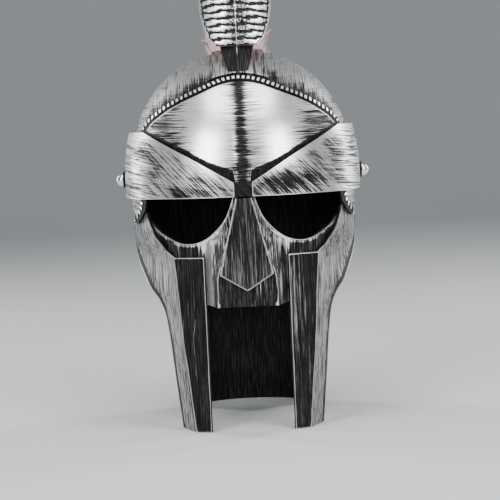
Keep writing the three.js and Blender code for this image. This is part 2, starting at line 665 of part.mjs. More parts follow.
// Nasal guard: kite-shaped plate on the front of the nose, with a bevelled rim
function makeNasalGuard() {
  const steps = [NASAL_TIP_DROP, NASAL_CORNER_DROP, 0.5 * (NASAL_CORNER_DROP + NASAL_TOP_DROP), NASAL_TOP_DROP];
  const halves = [0.6, NASAL_HALF_WIDTH, 0.5 * (NASAL_HALF_WIDTH + NASAL_TOP_HALF), NASAL_TOP_HALF];
  const across = [-1, -0.86, 0, 0.86, 1];
  const skin = (lift, rim) => (u, v) => {
    const row = Math.round(v * 3);
    const column = Math.round(u * 4);
    const height = -steps[row];
    const depth = readTable(NOSE, 'drop', 'depth', -height / LIP_DROP) * noseDepth;
    const edge = Math.abs(across[column]) === 1 || row === 0 ? rim : lift;
    return new THREE.Vector3(across[column] * halves[row], -depth - edge, height);
  };
  return wall(skin(SEAT + NASAL_WALL, SEAT + NASAL_WALL * 0.45), skin(SEAT, SEAT), 4, 3);
}

// Cheek guard on the +X side: folded plate from under the eye down to the ground
function makeCheekGuard() {
  const top = -EYE_TOP * STUD_HEIGHT;
  const skin = (u, v) => faceSkin(CHEEK_INNER_HALF, 2 * u, lerp(-STUD_HEIGHT, top, v), 0);
  const columns = 10;
  const rows = 18;
  const plate = toSolid(wall(skin, levelBehind(skin, WALL), columns, rows));
  const edge = curveThrough(CHEEK_TOP.slice(1), fromDrop, 14);
  const overEye = frontPrism([
    fromDrop(CHEEK_TOP[0]),
    ...edge,
    new THREE.Vector2(edge[edge.length - 1].x, FAR),
    new THREE.Vector2(fromDrop(CHEEK_TOP[0]).x, FAR),
  ], -FAR, FAR);
  const underTab = frontPrism(tabOutline(GAP), -FAR, FAR);
  const overTab = frontPrism([
    new THREE.Vector2(edge[edge.length - 1].x - 1, top - 1),
    new THREE.Vector2(FAR, top - 1),
    new THREE.Vector2(FAR, FAR),
    new THREE.Vector2(edge[edge.length - 1].x - 1, FAR),
  ], -FAR, FAR);
  return plate.subtract(overEye).subtract(underTab).subtract(overTab);
}

// Inner skin set back level, so that the lower rim of the wall stays flat
function levelBehind(skin, thickness) {
  const step = 0.004;
  return (u, v) => {
    const run = skin(Math.min(1, u + step), v).sub(skin(Math.max(0, u - step), v));
    const outward = new THREE.Vector3(run.y, -run.x, 0).normalize();
    return skin(u, v).addScaledVector(outward, -thickness);
  };
}

// Angle about the stud axis at which the keel meets the milled edge on the arch
function keelStart(x) {
  const share = Math.abs(x) / DOME_HALF_WIDTH;
  return Math.asin((archHeight(share) + archMargin(share)) / (DOME_RADIUS * roundProfile(share)));
}

// Keel: low strip over the crown, wide at the front arch and narrow at the back
function makeKeel() {
  const skin = (offset) => (u, v) => {
    const half = lerp(KEEL_FRONT_HALF, KEEL_REAR_HALF, v);
    const x = lerp(-half, half, u);
    return crownPoint(x, lerp(keelStart(x), degrees(KEEL_END), v), offset);
  };
  return wall(skin(SEAT + KEEL_RISE), skin(SEAT), 6, 16);
}

// Stem: a wedge that rises from the front of the keel to the shield
function makeStem() {
  const ring = (height, half, front, back) => [
    new THREE.Vector3(0, -front, height),
    new THREE.Vector3(half, -front + half * 0.3, height),
    new THREE.Vector3(half * 0.9, -back, height),
    new THREE.Vector3(-half * 0.9, -back, height),
    new THREE.Vector3(-half, -front + half * 0.3, height),
  ];
  const seat = DOME_RADIUS + crestSeat;
  const footAngle = keelStart(0) + degrees(1);
  const footHeight = seat * Math.sin(footAngle);
  const footFront = seat * Math.cos(footAngle);
  const top = shieldBase - GAP;
  const topFront = shieldFront - SHIELD_WALL / 3;
  const slope = (footFront - topFront) / (top - footHeight);
  const sunk = 6;
  const wedge = toSolid(stack([
    ring(footHeight - sunk, STEM_FOOT_HALF * 0.8, footFront + slope * sunk, topFront - STEM_DEPTH),
    ring(top, STEM_TOP_HALF, topFront, topFront - STEM_DEPTH),
  ]));
  return toGeometry(wedge.subtract(fullHood(crestSeat, 0)));
}

// Crest shield: bowed spade-shaped plate with level ribs
function makeShield() {
  const rows = SHIELD_RIBS * 2;
  const skin = (thickness, rib) => (u, v) => {
    const half = readTable(SHIELD, 'rise', 'half', v) * SHIELD_HALF_WIDTH;
    const across = lerp(-1, 1, u);
    const crest = Math.round(v * rows) % 2 === 1 ? rib : 0;
    const back = SHIELD_BOW * (across * half / SHIELD_HALF_WIDTH) ** 2 + SHIELD_LEAN * v * v;
    const y = -shieldFront + back + thickness - crest;
    return new THREE.Vector3(across * half, y, shieldBase + SHIELD_HEIGHT * v);
  };
  return wall(skin(0, RIB_RISE), skin(SHIELD_WALL, 0), 6, rows);
}

// Lock of bristle: tapered blade that stands on the keel at an angle and leans its own way
function makeLock(angle, direction, lane, length, depth) {
  const root = crownPoint(0, angle, crestSeat + BACKING_THICKNESS / 2);
  const blade = [
    { reach: 0.00, centre: 0.20, half: 0.16, depth: 0.46 },
    { reach: 0.24, centre: 0.58, half: 0.33, depth: 0.56 },
    { reach: 1.00, centre: 0.66, half: 0.30, depth: 0.70 },
  ];
  const section = (row) => {
    const corner = (side, turn) => {
      const reach = length * row.reach;
      const across = turn * depth * row.depth;
      return new THREE.Vector3(
        (lane * row.centre + side * row.half) * PLUME_HALF_WIDTH,
        root.y - reach * Math.cos(direction) + across * Math.sin(direction),
        root.z + reach * Math.sin(direction) + across * Math.cos(direction),
      );
    };
    return [corner(-1, -1), corner(1, -1), corner(1, 1), corner(-1, 1)];
  };
  return toSolid(stack(blade.map(section)));
}

// Plume: locks of bristle that fan out from a backing strip along the keel
function makePlume() {
  const backing = (offset) => (u, v) => {
    const angle = degrees(lerp(PLUME_START, PLUME_END, v));
    return crownPoint(lerp(-PLUME_ROOT_HALF, PLUME_ROOT_HALF, u), angle, offset);
  };
  let brush = toSolid(wall(backing(crestSeat + BACKING_THICKNESS), backing(crestSeat), 4, 12));
  const pitch = (PLUME_END - PLUME_START) / PLUME_ROWS;
  const depth = degrees(pitch) * DOME_RADIUS;
  for (let row = 0; row < PLUME_ROWS; row += 1) {
    const share = row / (PLUME_ROWS - 1);
    const angle = degrees(PLUME_START + pitch * (row + 0.5));
    const direction = degrees(lerp(PLUME_FRONT_LEAN, PLUME_REAR_LEAN, share));
    const length = PLUME_LENGTH * (1 - 0.3 * share * share) * (row % 2 === 0 ? 1 : 0.95);
    for (const lane of [-1, 0, 1]) {
      brush = brush.add(makeLock(angle, direction, lane, length * (lane === 0 ? 1 : 0.9), depth));
    }
  }
  return toGeometry(brush);
}

const darkSilver = finish(0x8c8c8c, 0.42, 0.75);
const brightSilver = finish(0xc9c9c9, 0.28, 0.9);
const blackened = finish(0x3a3a3c, 0.5, 0.55);

place('skull_shell', makeSkullShell(), darkSilver.clone());
place('beaded_edge', makeBeadedEdge(), brightSilver.clone());
place('forehead_plate', makeForeheadPlate(), brightSilver.clone());
place('visor', makeVisor(), darkSilver.clone());
place('face_plate', makeFacePlate(), darkSilver.clone());
place('nasal_guard', makeNasalGuard(), blackened.clone());
const stud = makeStud();
place('stud_right', toGeometry(stud), brightSilver.clone());
place('stud_left', toGeometry(flipped(stud)), brightSilver.clone());
const cheekGuard = makeCheekGuard();
place('cheek_guard_right', toGeometry(cheekGuard), darkSilver.clone());
place('cheek_guard_left', toGeometry(flipped(cheekGuard)), darkSilver.clone());
place('crest_keel', makeKeel(), darkSilver.clone());
place('crest_stem', makeStem(), blackened.clone());
place('crest_shield', makeShield(), brightSilver.clone());
place('plume', makePlume(), finish(0xb5564e, 0.85, 0));

// The origin is on the ground, under the middle of the whole helmet
carrier.position.y = -new THREE.Box3().setFromObject(helmet).getCenter(new THREE.Vector3()).y;

export default helmet;
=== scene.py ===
# Crested helmet with a hinged brow visor, moulded in black plastic and dry-brushed with silver.
# The pieces follow in the order in which the helmet is put together, from shell to plume.
import math
import random

import bmesh
import bpy
from mathutils import Matrix, Vector
from mathutils.kdtree import KDTree


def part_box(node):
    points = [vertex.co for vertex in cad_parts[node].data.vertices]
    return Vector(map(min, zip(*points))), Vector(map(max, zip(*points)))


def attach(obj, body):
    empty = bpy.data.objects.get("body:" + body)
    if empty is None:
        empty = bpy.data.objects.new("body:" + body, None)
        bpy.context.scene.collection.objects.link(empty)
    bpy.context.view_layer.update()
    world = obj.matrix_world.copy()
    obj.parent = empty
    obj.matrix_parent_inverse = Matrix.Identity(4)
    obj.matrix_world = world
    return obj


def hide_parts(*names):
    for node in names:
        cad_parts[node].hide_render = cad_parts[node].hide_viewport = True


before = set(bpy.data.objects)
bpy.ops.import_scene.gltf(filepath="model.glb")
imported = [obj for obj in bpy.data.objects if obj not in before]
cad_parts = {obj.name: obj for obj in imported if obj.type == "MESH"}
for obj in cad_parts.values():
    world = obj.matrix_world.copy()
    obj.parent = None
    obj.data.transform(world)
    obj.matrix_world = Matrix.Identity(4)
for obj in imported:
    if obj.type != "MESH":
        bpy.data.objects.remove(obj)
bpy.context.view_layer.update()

# Studio: a pale seamless sweep under the helmet, with two tall soft boxes in front, one on each side,
# a broad one overhead and two strips behind. The camera looks at the face from just above it, with
# a slight tilt, and the crest runs out of the top of the picture.
rest_low, rest_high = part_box("stud_right")
stud_axis = Vector((0, (rest_low.y + rest_high.y) / 2, (rest_low.z + rest_high.z) / 2))
camera_distance, seen_width = 1.95, 0.4
camera_rise, camera_roll = math.radians(3), math.radians(2.6)
aim_right, aim_down = 0.006, 0.0604

level_back = Vector((0, -math.cos(camera_rise), math.sin(camera_rise)))
level_up = Vector((0, math.sin(camera_rise), math.cos(camera_rise)))
tilted_right = Vector((1, 0, 0)) * math.cos(camera_roll) - level_up * math.sin(camera_roll)
tilted_up = Vector((1, 0, 0)) * math.sin(camera_roll) + level_up * math.cos(camera_roll)
camera_place = stud_axis + level_back * camera_distance
aim = stud_axis + tilted_right * aim_right - tilted_up * aim_down
forward = (aim - camera_place).normalized()
side = forward.cross(tilted_up).normalized()
camera = bpy.data.objects.new("camera", bpy.data.cameras.new("camera"))
camera.data.lens = camera.data.sensor_width * camera_distance / seen_width
camera_turn = Matrix((side, side.cross(forward), -forward)).transposed().to_4x4()
camera.matrix_world = Matrix.Translation(camera_place) @ camera_turn
bpy.context.scene.collection.objects.link(camera)
bpy.context.scene.camera = camera

sweep_half, sweep_front, sweep_back, sweep_radius, sweep_rise = 6, -4, 2, 1.5, 4
floor_bm = bmesh.new()
front_edge = floor_bm.edges.new([floor_bm.verts.new((x, sweep_front, 0)) for x in (-sweep_half, sweep_half)])
run = bmesh.ops.extrude_edge_only(floor_bm, edges=[front_edge])["geom"]
bmesh.ops.translate(floor_bm, verts=[v for v in run if isinstance(v, bmesh.types.BMVert)],
                    vec=(0, sweep_back - sweep_front, 0))
bmesh.ops.spin(floor_bm, geom=[e for e in run if isinstance(e, bmesh.types.BMEdge)],
               cent=(0, sweep_back, sweep_radius), axis=(1, 0, 0), angle=math.radians(90), steps=24)
top_edge = [e for e in floor_bm.edges if e.is_boundary and all(v.co.z > sweep_radius - 0.01 for v in e.verts)]
rise = bmesh.ops.extrude_edge_only(floor_bm, edges=top_edge)["geom"]
bmesh.ops.translate(floor_bm, verts=[v for v in rise if isinstance(v, bmesh.types.BMVert)],
                    vec=(0, 0, sweep_rise))
bmesh.ops.recalc_face_normals(floor_bm, faces=floor_bm.faces)
floor_mesh = bpy.data.meshes.new("sweep")
floor_bm.to_mesh(floor_mesh)
floor_bm.free()
floor_mesh.shade_smooth()
floor = bpy.data.objects.new("sweep", floor_mesh)
bpy.context.scene.collection.objects.link(floor)
paper = bpy.data.materials.new("pale_paper")
paper.use_nodes = True
paper.node_tree.nodes["Principled BSDF"].inputs["Base Color"].default_value = (0.62, 0.64, 0.65, 1)
paper.node_tree.nodes["Principled BSDF"].inputs["Roughness"].default_value = 0.9
floor_mesh.materials.append(paper)

soft_boxes = [
    # name, place, aimed at, width, height, power
    ("left_box", (-0.75, -1.25, 0.75), (0, -0.05, 0.2), 0.5, 1.0, 17),
    ("right_box", (0.85, -1.15, 0.7), (0, -0.05, 0.2), 0.5, 1.0, 15),
    ("top_box", (0.0, -0.35, 1.5), (0, 0, 0.2), 1.1, 0.9, 14),
    ("left_strip", (-1.1, 0.75, 0.6), (0, 0, 0.2), 0.3, 1.2, 13),
    ("right_strip", (1.1, 0.75, 0.6), (0, 0, 0.2), 0.3, 1.2, 13),
]
for name, place, target, width, height, power in soft_boxes:
    box = bpy.data.lights.new(name, "AREA")
    box.shape, box.size, box.size_y, box.energy = "RECTANGLE", width, height, power
    lamp = bpy.data.objects.new(name, box)
    lamp.location = place
    lamp.rotation_euler = (Vector(target) - Vector(place)).to_track_quat("-Z", "Y").to_euler()
    bpy.context.scene.collection.objects.link(lamp)
world = bpy.data.worlds.new("studio")
world.use_nodes = True
world.node_tree.nodes["Background"].inputs["Color"].default_value = (0.80, 0.83, 0.86, 1)
world.node_tree.nodes["Background"].inputs["Strength"].default_value = 0.3
bpy.context.scene.world = world

# Skull shell: the dome with its two ear tabs and the nape guard, one injection-moulded wall of black
# plastic. Silver is wiped over it, up towards the crown in front and lengthwise round the sides, and
# stays in soft streaks.
half_width, dome_radius, dome_rear, fullness = 88.5, 98.5, 108.0, 2.2
stud_height, wall = 193.0, 2.5
# drop as a share of stud_height, width of half_width, rear of dome_rear
neck = [
    (0.00, 1.000, 1.000), (0.18, 1.000, 0.995), (0.30, 0.985, 0.965), (0.38, 0.935, 0.920),
    (0.47, 0.850, 0.855), (0.58, 0.765, 0.785), (0.72, 0.725, 0.745), (0.87, 0.725, 0.765),
    (1.00, 0.745, 0.840),
]
# lower edge: width and rear as shares, with the drop
ear_tab = [(0.860, 0.047), (0.862, 0.073), (0.873, 0.109), (0.912, 0.145), (0.960, 0.173), (0.998, 0.182)]
nape_edge = [
    (0.056, 0.187), (0.056, 0.300), (0.110, 0.372), (0.260, 0.475), (0.390, 0.570), (0.455, 0.700),
    (0.480, 0.855), (0.490, 1.000),
]
# edge of the front arch: share of half_width and of dome_radius
arch = [
    (0.000, 0.796), (0.158, 0.772), (0.350, 0.706), (0.525, 0.638), (0.703, 0.545), (0.850, 0.419),
    (0.905, 0.220), (0.905, 0.020), (0.885, -0.110), (0.897, -0.203), (0.934, -0.272), (0.977, -0.318),
]
brow_drop = 9.0
shell_columns, shell_rows = 150, 64


def read(rows, at, column=1):
    """One column of a table at a place along its first column, on a smooth curve."""
    last = len(rows) - 1
    at = min(max(at, rows[0][0]), rows[last][0])
    i = 0
    while i < last - 1 and rows[i + 1][0] < at:
        i += 1

    def slope(a, b):
        return (rows[b][column] - rows[a][column]) / (rows[b][0] - rows[a][0])

    def blended(a, b):
        return 2 * a * b / (a + b) if a * b > 0 else 0

    step, inner = rows[i + 1][0] - rows[i][0], slope(i, i + 1)
    before = blended(slope(i - 1, i), inner) if i > 0 else inner
    after = blended(inner, slope(i + 1, i + 2)) if i + 1 < last else inner
    t = (at - rows[i][0]) / step
    return ((1 + 2 * t) * (1 - t) ** 2 * rows[i][column] + t * (1 - t) ** 2 * step * before
            + t * t * (3 - 2 * t) * rows[i + 1][column] + t * t * (t - 1) * step * after)


def mix(a, b, t):
    return a + (b - a) * t


def within(value):
    return min(max(value, 0.0), 1.0)


def held(value, limit):
    return max(-limit, min(limit, value))


def both_sides(points):
    return points + [Vector((-p.x, p.y, p.z)) for p in points]


def spot(x, z, at_x, at_z, reach_x, reach_z):
    """1 in the middle of a soft oval spot on the front, falling to 0 outside it."""
    return math.exp(-((x - at_x) / reach_x) ** 2 - ((z - at_z) / reach_z) ** 2)


def round_profile(share):
    return (1 - min(1, abs(share)) ** fullness) ** (1 / fullness)


def hood_point(turn, height, lift):
    """Point of the dome and neck skin, grown by lift, at a turn from the face and a height, in mm
    from the middle of the stud axis."""
    drop = max(0, -height) / stud_height
    half = half_width * read(neck, drop, 1) + lift
    front = dome_radius + lift
    rear = dome_rear * read(neck, drop, 2) + lift
    up = min(max(0, height), front)
    x = half * round_profile(up / front) * math.sin(turn)
    depth = math.sqrt(max(0, (front * round_profile(x / half)) ** 2 - up ** 2))
    return Vector((x, -depth if math.cos(turn) > 0 else depth * rear / front, height))


def resampled(points, count):
    """The same open line through count + 1 points at even distances."""
    run = [0]
    for a, b in zip(points, points[1:]):
        run.append(run[-1] + (Vector(b) - Vector(a)).length)
    line, i = [], 0
    for k in range(count + 1):
        at = run[-1] * k / count
        while i < len(run) - 2 and run[i + 1] < at:
            i += 1
        t = (at - run[i]) / max(1e-9, run[i + 1] - run[i])
        line.append(Vector(points[i]).lerp(Vector(points[i + 1]), within(t)))
    return line


def softened(points):
    """The same line with its corners eased."""
    inside = [p * 0.5 + (a + b) * 0.25 for a, p, b in zip(points, points[1:], points[2:])]
    return [points[0]] + inside + [points[-1]]


def lay_grid(bm, columns, rows, skin):
    """Adds a grid to a shape and lays it on a skin given by the column and row of a grid point."""
    along, up = bm.verts.layers.float.new("column"), bm.verts.layers.float.new("row")
    grid = bmesh.ops.create_grid(bm, x_segments=columns, y_segments=rows, size=1)["verts"]
    for v in grid:
        v[along], v[up] = round((v.co.x + 1) / 2 * columns), round((v.co.y + 1) / 2 * rows)
        v.co = skin(int(v[along]), int(v[up]))
    return along, up


def eased(bm, edges, offset, segments=2):
    bmesh.ops.bevel(bm, geom=edges, affect="EDGES", offset=offset, segments=segments, profile=0.5,
                    material=-1, clamp_overlap=True)


def sheet(columns, rows, skins, rim_bevel=0.5, folds=()):
    """A moulded wall: a grid laid on the outer skin and extruded back to the inner one, with its rims
    and folds eased. Both skins are given by the column and row of a grid point."""
    bm = bmesh.new()
    hidden = bm.verts.layers.float.new("inner")
    outer, inner = skins
    along, up = lay_grid(bm, columns, rows, outer)
    bmesh.ops.remove_doubles(bm, verts=bm.verts, dist=0.02)
    rim = [e for e in bm.edges if e.is_boundary]
    creases = [e for e in bm.edges
               if not e.is_boundary and any(all(v[along] == c for v in e.verts) for c in folds)]
    back = bmesh.ops.extrude_face_region(bm, geom=bm.faces[:])["geom"]
    for v in (g for g in back if isinstance(g, bmesh.types.BMVert)):
        v.co = inner(int(round(v[along])), int(round(v[up])))
        v[hidden] = 1
    bmesh.ops.recalc_face_normals(bm, faces=bm.faces)
    if creases:
        fold_bevel = 0.7
        eased(bm, creases, fold_bevel, segments=3)
    if rim_bevel:
        eased(bm, [e for e in rim if e.is_valid], rim_bevel)
    return bm


def mirrored_over_face(bm):
    """Adds the same shape on the other side of the face's middle plane."""
    bmesh.ops.mirror(bm, geom=bm.verts[:] + bm.edges[:] + bm.faces[:], axis="X", merge_dist=0.02)
    bmesh.ops.remove_doubles(bm, verts=bm.verts, dist=0.02)
    bmesh.ops.recalc_face_normals(bm, faces=bm.faces)


def tree_of(points):
    tree = KDTree(len(points))
    for i, p in enumerate(points):
        tree.insert(p, i)
    tree.balance()
    return tree


def finished(name, bm, finish, body, slot, *nodes, worn=(), silver_and_painted_light=None, smooth=40):
    """Turns a shape in mm about the stud axis into a piece in place. Each point keeps its distance in
    mm to the nearest worn point, so that its finish can brighten the edges, and lay gives how much
    more or less silver lies at a place, with painted highlight and painted shade on some pieces. The
    hidden side of a wall is left as bare plastic."""
    if worn:
        bare, unworn = -0.6, 9.0
        tree = tree_of(worn)
        hidden = bm.verts.layers.float.get("inner") or bm.verts.layers.float.new("inner")
        edge, more = bm.verts.layers.float.new("edge"), bm.verts.layers.float.new("silver_and_painted_light")
        for v in bm.verts:
            v[edge] = mix(tree.find(v.co)[2], unworn, v[hidden])
            v[more] = mix(silver_and_painted_light(v.co) if silver_and_painted_light else 0.0, bare, v[hidden])
    bmesh.ops.scale(bm, verts=bm.verts, vec=(0.001, 0.001, 0.001))
    bmesh.ops.translate(bm, verts=bm.verts, vec=stud_axis)
    mesh = bpy.data.meshes.new(name)
    bm.to_mesh(mesh)
    bm.free()
    mesh.shade_smooth()
    mesh.set_sharp_from_angle(angle=math.radians(smooth))
    mesh.materials.append(finish)
    piece = bpy.data.objects.new(name, mesh)
    bpy.context.scene.collection.objects.link(piece)
    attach(piece, body)
    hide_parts(*nodes)


def length_of(line):
    return sum((b - a).length for a, b in zip(line, line[1:]))


def along_line(line, step):
    """Points on an open line, about step mm apart."""
    return resampled(line, max(1, round(length_of(line) / step)))


def along_pair(points, step):
    """The same on two lines that take turns in a list of points."""
    return along_line(points[::2], step) + along_line(points[1::2], step)


class Wire:
    """A socket of a finish. Arithmetic on it adds the Math nodes, and node() adds any other node."""

    def __init__(self, socket):
        self.socket, self.tree = socket, socket.id_data

    def node(self, kind, settings, inputs, output=0):
        made = self.tree.nodes.new("ShaderNode" + kind)
        for key, value in settings.items():
            setattr(made, key, value)
        for key, value in inputs.items():
            if isinstance(value, Wire):
                self.tree.links.new(value.socket, made.inputs[key])
            else:
                made.inputs[key].default_value = value
        return Wire(made.outputs[output])

    def math(self, operation, *values):
        return self.node("Math", {"operation": operation}, dict(enumerate(values)))

    def __add__(self, other): return self.math("ADD", self, other)
    def __radd__(self, other): return self.math("ADD", other, self)
    def __sub__(self, other): return self.math("SUBTRACT", self, other)
    def __rsub__(self, other): return self.math("SUBTRACT", other, self)
    def __mul__(self, other): return self.math("MULTIPLY", self, other)

    def ramp(self, low, high, to_low=0.0, to_high=1.0):
        """Rises smoothly from to_low at low to to_high at high."""
        limits = {"From Min": low, "From Max": high, "To Min": to_low, "To Max": to_high}
        return self.node("MapRange", {"interpolation_type": "SMOOTHSTEP"}, {"Value": self, **limits})


def silvered(name, stroke, cover, tone=0.85, turn=(0, 0, 0), cross=None, edge_width=0.6, edge_gain=0.9,
             patch=0.25, softness=0.12, gloss=0.34, faint=0.4, grain=0.3):
    """Silver dry-brushed over black plastic. stroke gives the brush marks per metre along X, Y and Z
    of the turned piece, and cross a second turn, which takes over towards the sides. cover is the share
    of silver, patch how uneven it is, softness how gradual its borders are, tone and gloss its
    brightness and roughness. edge_gain is how much of it the edges take, over edge_width mm, faint how
    far fine hairs of silver grey the black between the marks, and grain how deep they lie."""
    black = (0.004, 0.004, 0.0045, 1)
    fine, contrast = [s * 2.4 for s in stroke], 1.6
    front_reach, side_reach = 0.056, 0.086
    material = bpy.data.materials.new(name)
    material.use_nodes = True
    tree = material.node_tree
    shader = tree.nodes["Principled BSDF"]
    shader.inputs["Specular IOR Level"].default_value = 0.09
    place = Wire(tree.nodes.new("ShaderNodeTexCoord").outputs["Object"])

    def marks(turned, size, detail, rough):
        aligned = place.node("Mapping", {"vector_type": "POINT"}, {"Vector": place, "Rotation": turned})
        scaled = place.node("VectorMath", {"operation": "MULTIPLY"}, {0: aligned, 1: size})
        look = {"Scale": 1.0, "Detail": detail, "Roughness": rough}
        return place.node("TexNoise", {}, {"Vector": scaled, **look})

    broad = marks(turn, [s * 0.3 for s in stroke], 3, 0.6)
    strokes = marks(turn, stroke, 4, 0.68)
    hair = marks(turn, fine, 3, 0.7)
    patches = marks((0, 0, 0), (38, 38, 38), 2, 0.5)
    amount = strokes * 0.45 + broad * 0.13 + hair * 0.42
    if cross:
        from_middle = place.node("SeparateXYZ", {}, {"Vector": place})
        share = from_middle.math("ABSOLUTE", from_middle).ramp(front_reach, side_reach, 0.2, 1.0)
        crossing = marks(cross, stroke, 4, 0.68) * 0.6 + marks(cross, fine, 3, 0.7) * 0.4
        amount = amount * (1.0 - share) + crossing * share
    silver_and_painted_light, edge = (place.node("Attribute", {"attribute_name": kept}, {}, 2) for kept in ("silver_and_painted_light", "edge"))
    # lay adds or takes away silver, and on some pieces painted highlight and painted shade.
    amount = (amount - 0.5) * contrast + 0.5 + (patches - 0.5) * patch + silver_and_painted_light
    rubbed = (edge + (strokes - 0.5) * edge_width * 3.0).ramp(edge_width * 0.3, edge_width * 1.3, 1, 0)
    threshold = mix(0.64, 0.36, cover)
    silver = amount.ramp(threshold - softness / 2, threshold + softness / 2)
    silver = silver.math("MAXIMUM", silver, rubbed * edge_gain)
    silver = silver.math("MAXIMUM", silver, hair.ramp(0.47, 0.70, 0, faint * 0.3))
    bright = silver * (0.72 + hair * 0.56)
    bright = bright.math("MINIMUM", bright, 1.0)
    silver_colour = (tone, tone, tone * 1.01, 1)
    colour = place.node("Mix", {"data_type": "RGBA"}, {0: bright, 6: black, 7: silver_colour}, 2)
    rough = silver * (gloss - 0.5) + 0.5 + (hair - 0.5) * 0.18
    height = strokes * 0.5 + hair * 0.5
    relief = place.node("Bump", {}, {"Strength": grain, "Distance": 0.0002, "Height": height})
    tree.links.new(colour.socket, shader.inputs["Base Color"])
    tree.links.new(rough.socket, shader.inputs["Roughness"])
    tree.links.new((silver * 0.95).socket, shader.inputs["Metallic"])
    tree.links.new(relief.socket, shader.inputs["Normal"])
    return material


def tab_turn(across):
    return math.asin(min(1, across))


def back_turn(y, height):
    """Turn at which the skin is y mm behind the stud axis."""
    rear = dome_rear * read(neck, max(0, -height) / stud_height, 2)
    return math.pi - math.asin((1 - min(1, y / rear) ** fullness) ** (1 / fullness))


def level_height(level):
    """Height of a level, which is a height on the neck and a distance along the skin on the dome."""
    return level if level < 0 else dome_radius * math.sin(min(math.pi / 2, level / dome_radius))


lower_edge = [(0, -brow_drop), (tab_turn(ear_tab[0][0]), -brow_drop)]
lower_edge += [(tab_turn(a), -d * stud_height) for a, d in ear_tab]
lower_edge += [(back_turn(b * dome_rear, -d * stud_height), -d * stud_height) for b, d in nape_edge]
lower_edge += [(math.pi, -stud_height)]
lower_edge = [Vector((turn * dome_radius, height)) for turn, height in lower_edge]
lower_edge = softened(resampled(lower_edge, shell_columns))
crown_level = dome_radius * math.pi / 2


def shell_skin(lift):
    def at(column, row):
        share, up = column / shell_columns, row / shell_rows
        low = lower_edge[column]
        turn = mix(low.x / dome_radius, share * math.pi, min(1, up * 1.15))
        level = mix(low.y, crown_level, up)
        height = level_height(level) * ((dome_radius + lift) / dome_radius if level > 0 else 1)
        return hood_point(turn, height, lift)
    return at


shell_bm = sheet(shell_columns, shell_rows, (shell_skin(0), shell_skin(-wall)), rim_bevel=0)
mirrored_over_face(shell_bm)
shell_rim = both_sides([shell_skin(0)(column, 0) for column in range(shell_columns + 1)])
shell_finish = silvered("wiped_silver_shell", (760, 22, 22), 0.5, tone=0.5, cross=(0, math.radians(90), 0),
                        patch=0.12, gloss=0.42, softness=0.24, faint=0.2)


def shell_lay(p):
    """Darker just over the arch and paler over the round of the dome. What the forehead plate and the
    visor cover stays black."""
    bare, arch_side, covered_front, wiped_reach, far_reach = -0.6, 0.84, 34, 24, 70
    if p.y > 0 or p.z < 0:
        return mix(0.05, -0.06, within(max(p.y, -p.z) / far_reach))
    height = read(arch, min(abs(p.x) / half_width, arch_side)) * dome_radius
    over_arch = math.atan2(p.z, -p.y) - math.asin(within(height / math.hypot(p.y, p.z)))
    if over_arch < 0 and p.y < -covered_front and abs(p.x) < arch_side * half_width:
        return bare
    on_side = within((abs(p.x) / half_width - 0.80) / 0.06)
    return mix(mix(-0.17, 0.05, within(over_arch * dome_radius / wiped_reach)), 0.03, on_side)


finished("shell", shell_bm, shell_finish, "shell", "shell_silver", "skull_shell",
         worn=shell_rim, silver_and_painted_light=shell_lay)

# Rope edge: the milled strip round the front arch of the dome and down the ear tabs, moulded as a row
# of small blocks on a thin band. The silver catches only the blocks, so black stays between them.
bead_breadth, bead_rise, bead_pitch, seat = 4.0, 1.2, 3.9, 0.6


def face_point(x, height, lift):
    """Point of the dome skin, grown by lift, at x and a height on the face side."""
    radius = (dome_radius + lift) * round_profile(x / (half_width + lift))
    return Vector((x, -math.sqrt(max(0, radius ** 2 - height ** 2)) if height > 0 else -radius, height))


def face_normal(x, height, lift):
    right = face_point(x + 0.5, height, lift) - face_point(x - 0.5, height, lift)
    up = face_point(x, height + 0.5, lift) - face_point(x, height - 0.5, lift)
    return right.cross(up).normalized()


def spline(points, divisions):
    """A smooth line through points in one plane."""
    ends = [points[0] * 2 - points[1]] + points + [points[-1] * 2 - points[-2]]
    line = []
    for a, b, c, d in zip(ends, ends[1:], ends[2:], ends[3:]):
        for k in range(divisions):
            t = k / divisions
            line.append(0.5 * (2 * b + (c - a) * t + (2 * a - 5 * b + 4 * c - d) * t * t
                               + (3 * b - a - 3 * c + d) * t ** 3))
    return line + [points[-1]]


arch_half = spline([Vector((a * half_width, u * dome_radius)) for a, u in arch], 12)
arch_line = [Vector((-p.x, p.y)) for p in reversed(arch_half)] + arch_half[1:]
bead_count = round(length_of(arch_line) / bead_pitch)
band_points = [Vector((held(p.x, half_width), p.y)) for p in resampled(arch_line, bead_count * 2)]


def band_skin(lift):
    def at(column, row):
        a, b = band_points[max(0, column - 1)], band_points[min(len(band_points) - 1, column + 1)]
        across = Vector((-(b - a).y, (b - a).x)).normalized() * bead_breadth * (row / 4 - 0.5)
        p = band_points[column] + across
        return face_point(held(p.x, half_width), p.y, lift)
    return at


rope_bm = sheet(bead_count * 2, 4, (band_skin(seat + 0.5), band_skin(seat)), rim_bevel=0)
bead_feet, bead_lifts = [], []
for k in range(bead_count):
    a, b = band_points[2 * k], band_points[2 * k + 2]
    middle = (a + b) / 2
    half_x = half_width - 0.3
    p, before, after = (face_point(held(q.x, half_x), q.y, seat) for q in (middle, a, b))
    lift = face_normal(held(middle.x, half_x - 1), middle.y, seat)
    run = (after - before).normalized()
    lift = (lift - run * lift.dot(run)).normalized()
    stand = Matrix((run, lift.cross(run), lift)).transposed().to_4x4()
    size = Matrix.Diagonal((bead_pitch * 0.62, bead_breadth * 0.94, bead_rise * 1.7, 1))
    block = bmesh.ops.create_cube(rope_bm, size=1,
                                  matrix=Matrix.Translation(p + lift * bead_rise * 0.15) @ stand @ size)
    edges = list({e for v in block["verts"] for e in v.link_edges})
    bmesh.ops.bevel(rope_bm, geom=edges, affect="EDGES", offset=0.36, segments=1, profile=0.5, material=-1)
    bead_feet.append(p)
    bead_lifts.append(lift)
bead_tree = tree_of(bead_feet)


